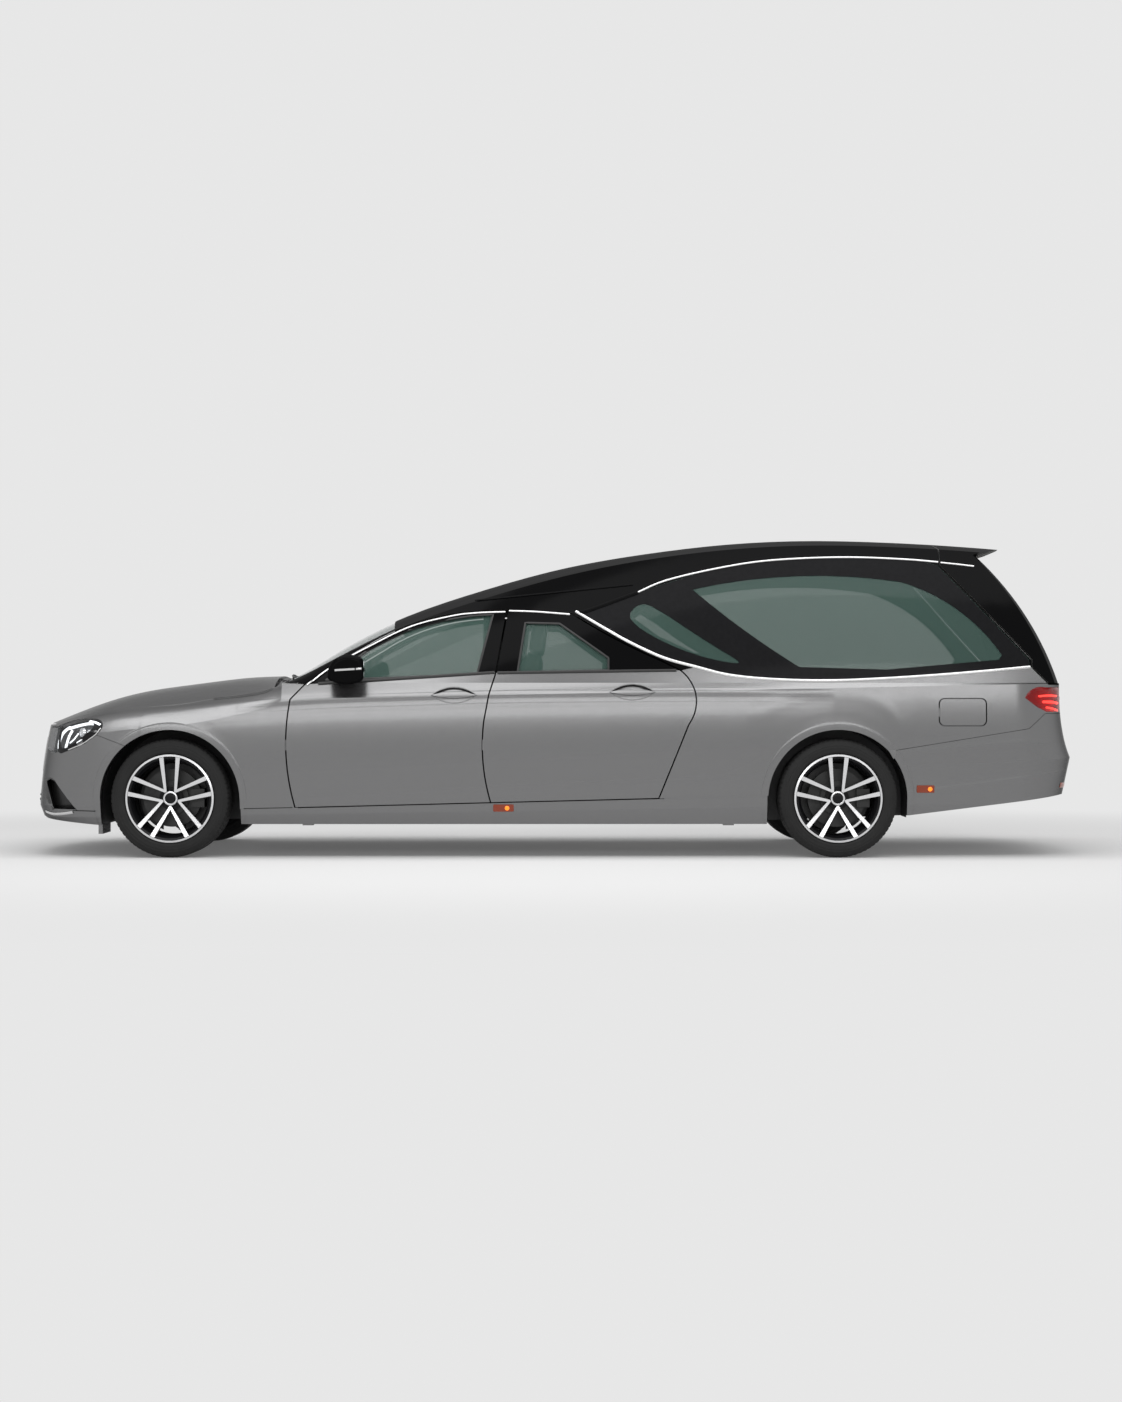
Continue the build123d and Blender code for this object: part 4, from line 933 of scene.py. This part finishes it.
for side, tag in SIDES:
    door = f"front_door_{tag}_body"
    for name, line in SHUT_LINE_SHADES.items():
        # Dark bead on the skin: painted shade where the gap between panels is.
        ribbon(f"shut_line_{name}_{tag}", line, side, wing_skin, bead(0.0045, 0.0006), "body", seal)
    sheet(f"lamp_bezel_{tag}", LAMP_BEZEL, [LAMP_HOLE], side, lamp_ring_skin, lamp_black, pitch=0.02)
    sheet(f"intake_bezel_{tag}", INTAKE_BEZEL, [SIDE_INTAKE], side, wing_skin, mesh_dark, pitch=0.02)
    ribbon(f"lamp_edge_{tag}", LAMP_EDGE, side, lamp_ring_skin, bead(0.006, 0.0030), "body", chrome,
           step=0.01)
    ribbon(f"lamp_tip_{tag}", LAMP_TIP, side, lamp_ring_skin, bead(0.014, 0.0030), "body", led_white,
           step=0.01)
    mirror_skin = Skin(f"mirror_{tag}")
    for name, line in MIRROR_STRIPS.items():
        ribbon(f"mirror_strip_{name}_{tag}", line, side, mirror_skin, bead(0.011, 0.0025), door, chrome,
               step=0.01)
    slab(f"mirror_glass_{tag}", ellipse(0, 0, 0.033, 0.048, 32), (-1.0672, side * 0.972, 1.068), UPRIGHT, 0.0010,
         0.0005, mirror_glass, body=door)
    edge = quarter_skin.at(1.885, 0.640, side)
    if edge:
        y = abs(edge[0].y) - 0.0015
        verts = [(x, side * depth, z) for depth in (y, y - 0.012) for x, z in ARCH_FILLER]
        faces = [(0, 1, 2, 3, 4), (5, 6, 7, 8, 9), *quads(2, 5)]
        make(f"arch_filler_{tag}", verts, faces, "body", paint)
    ribbon(f"roof_crease_{tag}", ROOF_CREASE, side, crown_skin, bead(0.010, 0.0016), "body", black)
    ribbon(f"intake_trim_{tag}", INTAKE_TRIM, side, wing_skin, bead(0.016, 0.004), "body", chrome)


# Radiator grille frame and bars, lower intake bars, seen from the front.
nose_skin = Skin("front_bumper", "grille", "bonnet")
loop = rounded(-0.392, 0.392, 0.478, 0.704, 0.045, per=8)
loop = [Vector(a).lerp(Vector(b), k / 6) for a, b in zip(loop, loop[1:] + loop[:1]) for k in range(6)]
ring = [nose_skin.ahead(p.x, p.y) for p in loop + loop[:1]]
trail("grille_frame", ring, bead(0.016, 0.005), "body", chrome)
for k, z in enumerate((0.560, 0.625)):
    trail(f"grille_bar_{k + 1}", nose_skin.level(-0.372, 0.744, 40, z), bead(0.022, 0.005), "body", chrome)
for k, z in enumerate((0.290, 0.317, 0.344)):
    trail(f"intake_bar_{k + 1}", nose_skin.level(-0.535, 1.07, 40, z), bead(0.009, 0.004), "body", plastic)


# Tail: handle strip, button and high brake lamp on the tailgate, reflectors in the bumper.
for name, line, section, finish, slot in (
        ("tailgate_strip", (-0.50, 1.0, 40, 0.905), (0.024, 0.006), chrome, "alloy"),
        ("tailgate_button", (-0.055, 0.11, 12, 0.868), (0.030, 0.004), plastic, "black_paint"),
        ("high_brake_lamp", (-0.16, 0.32, 16, 1.690), (0.018, 0.003), lens_orange, "lamp_red")):
    trail(name, gate_skin.level(*line, -1), bead(*section), "tailgate_body", finish)
for side, tag in SIDES:
    line = bumper_skin.level(side * 0.52, side * 0.20, 12, 0.405, -1)
    trail(f"rear_reflector_{tag}", line, bead(0.030, 0.003), "body", lens_orange)


# Front seats: crowned cushions with flutes, bolsters and piped seams.
def pillow(name, middle, half, turn, flutes, face_axis):
    """Stuffed block: superellipsoid with flutes across its seating face and raised bolsters."""
    c, w = math.cos(turn), math.sin(turn)

    def set_down(p):
        return Vector(middle) + Vector((p.x * c + p.z * w, p.y, -p.x * w + p.z * c))

    n = 26
    grid = {}
    verts, faces = [], []

    def vertex(p):
        key = tuple(round(v, 5) for v in p)
        if key not in grid:
            grid[key] = len(verts)
            verts.append(p)
        return grid[key]

    for axis in range(3):
        for sign in (-1, 1):
            for i in range(n):
                for k in range(n):
                    quad = []
                    for di, dk in ((0, 0), (1, 0), (1, 1), (0, 1)):
                        p = [0, 0, 0]
                        p[axis] = sign
                        p[(axis + 1) % 3], p[(axis + 2) % 3] = -1 + 2 * (i + di) / n, -1 + 2 * (k + dk) / n
                        quad.append(vertex(Vector(p)))
                    faces.append(tuple(quad))
    placed = []
    for p in verts:
        q = p / (abs(p.x) ** 5 + abs(p.y) ** 5 + abs(p.z) ** 5) ** 0.2
        crown = (1 - q.x ** 2) * (1 - q.y ** 2) * (1 - q.z ** 2)
        size = Vector((q.x * half[0], q.y * half[1], q.z * half[2]))
        facing, along = (-q.x, q.z) if face_axis == "x" else (q.z, q.x)
        lift = 0.0
        if facing > 0.55:
            if abs(q.y) < 0.62:
                lift = -0.010 - 0.007 * abs(math.cos(math.pi * flutes * along / 2)) ** 6
            elif abs(q.y) < 0.68:
                lift = -0.016
        size += (Vector((-1, 0, 0)) if face_axis == "x" else Vector((0, 0, 1))) * lift
        size += q.normalized() * 0.004 * crown
        placed.append(set_down(size))
    seat = make(name, placed, faces, "body", leather)
    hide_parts("front_seats")
    for sy, seam in ((-1, "a"), (1, "b")):
        line = []
        for t in (-0.86 + 1.72 * k / 30 for k in range(31)):
            size = Vector((-half[0] + 0.014, sy * 0.65 * half[1], t * half[2])) if face_axis == "x" else Vector(
                (t * half[0], sy * 0.65 * half[1], half[2] - 0.014))
            line.append(set_down(size))
        tube(f"{name}_piping_{seam}", line, 0.0035, "body", stitch, sides=6)


for side, tag in SIDES:
    y = side * 0.380
    pillow(f"seat_cushion_{tag}", (-0.485, y, 0.515), (0.292, 0.262, 0.075), 0.0, 7, "z")
    pillow(f"seat_back_{tag}", (-0.190, y, 0.860), (0.064, 0.258, 0.318), math.radians(14), 9, "x")
    pillow(f"head_rest_{tag}", (-0.092, y, 1.262), (0.044, 0.138, 0.094), math.radians(8), 3, "x")
    slab(f"seat_base_{tag}", rounded(-0.72, -0.23, y - 0.245, y + 0.245, 0.04), (0, 0, 0.290), FLAT, 0.165, 0.012,
         plastic)
    for k, dy in enumerate((-0.045, 0.045)):
        tube(f"head_rest_post_{tag}_{k + 1}", [Vector((-0.118, y + dy, 1.13)), Vector((-0.106, y + dy, 1.20))], 0.006,
             "body", chrome)


# Engine cover with ribs and an oil filler cap.
slab("engine_cover", rounded(-2.52, -1.84, -0.255, 0.255, 0.07), (0, 0, 0.788), FLAT, 0.022, 0.012, plastic)
for k in range(5):
    slab(f"engine_cover_rib_{k + 1}", rounded(-2.46, -1.98, -0.010, 0.010, 0.009), (0, -0.14 + 0.07 * k, 0.808), FLAT,
         0.008, 0.004, plastic)
slab("oil_filler_cap", ellipse(-1.905, 0.12, 0.030, 0.030, 24), (0, 0, 0.808), FLAT, 0.020, 0.006, seal)


# Dashboard: screen, instrument panel, vents; load deck: carpet, rollers.
slab("centre_screen", rounded(-0.15, 0.15, -0.055, 0.055, 0.012), (-1.092, 0.02, 0.972), ((0, 1, 0), (-0.22, 0, 1)),
     0.012, 0.003, display, sink=0.004)
slab("instruments", ellipse(0, 0.02, 0.125, 0.040, 40), (-1.0448, -0.380, 0.905), UPRIGHT, 0.004, 0.002, display,
     sink=0.002)
dash_skin = Skin("dashboard")
for k, y in enumerate((-0.625, -0.075, 0.115, 0.625)):
    hit = dash_skin.ahead(y, 0.820, -1)
    if hit:
        slab(f"vent_{k + 1}", ellipse(0, 0, 0.042, 0.042, 28), hit[0] - Vector((0.002, 0, 0)), UPRIGHT, 0.008, 0.004,
             brushed)
        for j, dz in enumerate((-0.020, 0.0, 0.020)):
            half = math.sqrt(0.036 ** 2 - dz ** 2)
            slab(f"vent_{k + 1}_slat_{j + 1}", rounded(-half, half, -0.003, 0.003, 0.002, per=3),
                 hit[0] + Vector((0.006, 0, dz)), UPRIGHT, 0.003, 0.001, seal)
for name, y0, y1 in (("left", -0.690, -0.560), ("middle", -0.206, 0.206), ("right", 0.560, 0.690)):
    slab(f"deck_carpet_{name}", rounded(0.215, 2.625, y0, y1, 0.02), (0, 0, 0.840), FLAT, 0.006, 0.003, carpet)
ROLLER = [(0.0005, -0.208), (0.010, -0.208), (0.010, -0.198), (0.018, -0.194), (0.020, -0.186), (0.020, 0.186),
          (0.018, 0.194), (0.010, 0.198), (0.010, 0.208), (0.0005, 0.208)]
for k in range(9):
    lathe(f"deck_roller_{k + 1}", ROLLER, (0.40 + 0.26 * k, 0.0, 0.868), 1, "body", seal, segments=24)


# Camera, light and floor.
camera_data = bpy.data.cameras.new("camera")
camera_data.sensor_width = 36.0
camera_data.lens = 60.68
camera_data.clip_end = 200.0
camera = bpy.data.objects.new("camera", camera_data)
camera.location = (0.044, -14.30, 0.889)
camera.rotation_euler = (math.pi / 2, 0, 0)
bpy.context.scene.collection.objects.link(camera)
bpy.context.scene.camera = camera
bpy.context.scene.view_settings.view_transform = "Standard"

BACKGROUND = (0.80, 0.80, 0.80, 1)


def area_light(name, location, target, size_x, size_y, power):
    data = bpy.data.lights.new(name, "AREA")
    data.shape = "RECTANGLE"
    data.size, data.size_y, data.energy = size_x, size_y, power
    light = bpy.data.objects.new(name, data)
    light.location = location
    light.rotation_euler = (Vector(target) - Vector(location)).to_track_quat("-Z", "Y").to_euler()
    bpy.context.scene.collection.objects.link(light)


area_light("top_light", (0, -0.6, 6.5), (0, 0, 0), 9.0, 3.0, 230.0)
area_light("key_light", (0, -5.0, 6.8), (0, 0, 0.6), 11.0, 2.6, 215.0)
area_light("side_light", (0, -16.5, 5.0), (0, 0, 0.9), 18.0, 2.2, 380.0)
area_light("back_light", (0, 7.0, 5.5), (0, 0, 0.9), 10.0, 3.0, 22.0)

world = bpy.data.worlds.new("studio")
bpy.context.scene.world = world
world.use_nodes = True
tree = world.node_tree
tree.nodes.clear()
output = add(tree, "OutputWorld")
around = add(tree, "Background", Color=(0.62, 0.62, 0.62, 1), Strength=0.75)
shown = add(tree, "Background", Color=BACKGROUND)
path, pick = add(tree, "LightPath"), add(tree, "MixShader")
seen = arithmetic(tree, "MAXIMUM", path.outputs["Is Camera Ray"], path.outputs["Is Glossy Ray"])
seen = arithmetic(tree, "MAXIMUM", seen, path.outputs["Is Transmission Ray"])
tree.links.new(seen, pick.inputs["Fac"])
tree.links.new(around.outputs["Background"], pick.inputs[1])
tree.links.new(shown.outputs["Background"], pick.inputs[2])
tree.links.new(pick.outputs["Shader"], output.inputs["Surface"])

# The floor is matt near the car and fades into the background.
floor_mesh = bpy.data.meshes.new("floor")
floor_mesh.from_pydata([(-60, -60, 0), (60, -60, 0), (60, 60, 0), (-60, 60, 0)], [], [(0, 1, 2, 3)])
floor = bpy.data.objects.new("floor", floor_mesh)
bpy.context.scene.collection.objects.link(floor)
floor_material = bpy.data.materials.new("floor")
floor_material.use_nodes = True
tree = floor_material.node_tree
tree.nodes.clear()
output = add(tree, "OutputMaterial")
matt = add(tree, "BsdfDiffuse", Color=(0.80, 0.80, 0.80, 1))
even = add(tree, "Emission", Color=BACKGROUND)
spot = add(tree, "NewGeometry")
squeeze = add(tree, "Mapping", Scale=(1 / 8.5, 1 / 6.0, 0))
tree.links.new(spot.outputs["Position"], squeeze.inputs["Vector"])
length = add(tree, "VectorMath")
length.operation = "LENGTH"
tree.links.new(squeeze.outputs["Vector"], length.inputs[0])
fade = add(tree, "MapRange", From_Min=0.45, From_Max=1.0, To_Min=0.13)
fade.interpolation_type = "SMOOTHSTEP"
tree.links.new(length.outputs["Value"], fade.inputs["Value"])
mix = add(tree, "MixShader")
tree.links.new(fade.outputs["Result"], mix.inputs["Fac"])
tree.links.new(matt.outputs["BSDF"], mix.inputs[1])
tree.links.new(even.outputs["Emission"], mix.inputs[2])
tree.links.new(mix.outputs["Shader"], output.inputs["Surface"])
floor_mesh.materials.append(floor_material)
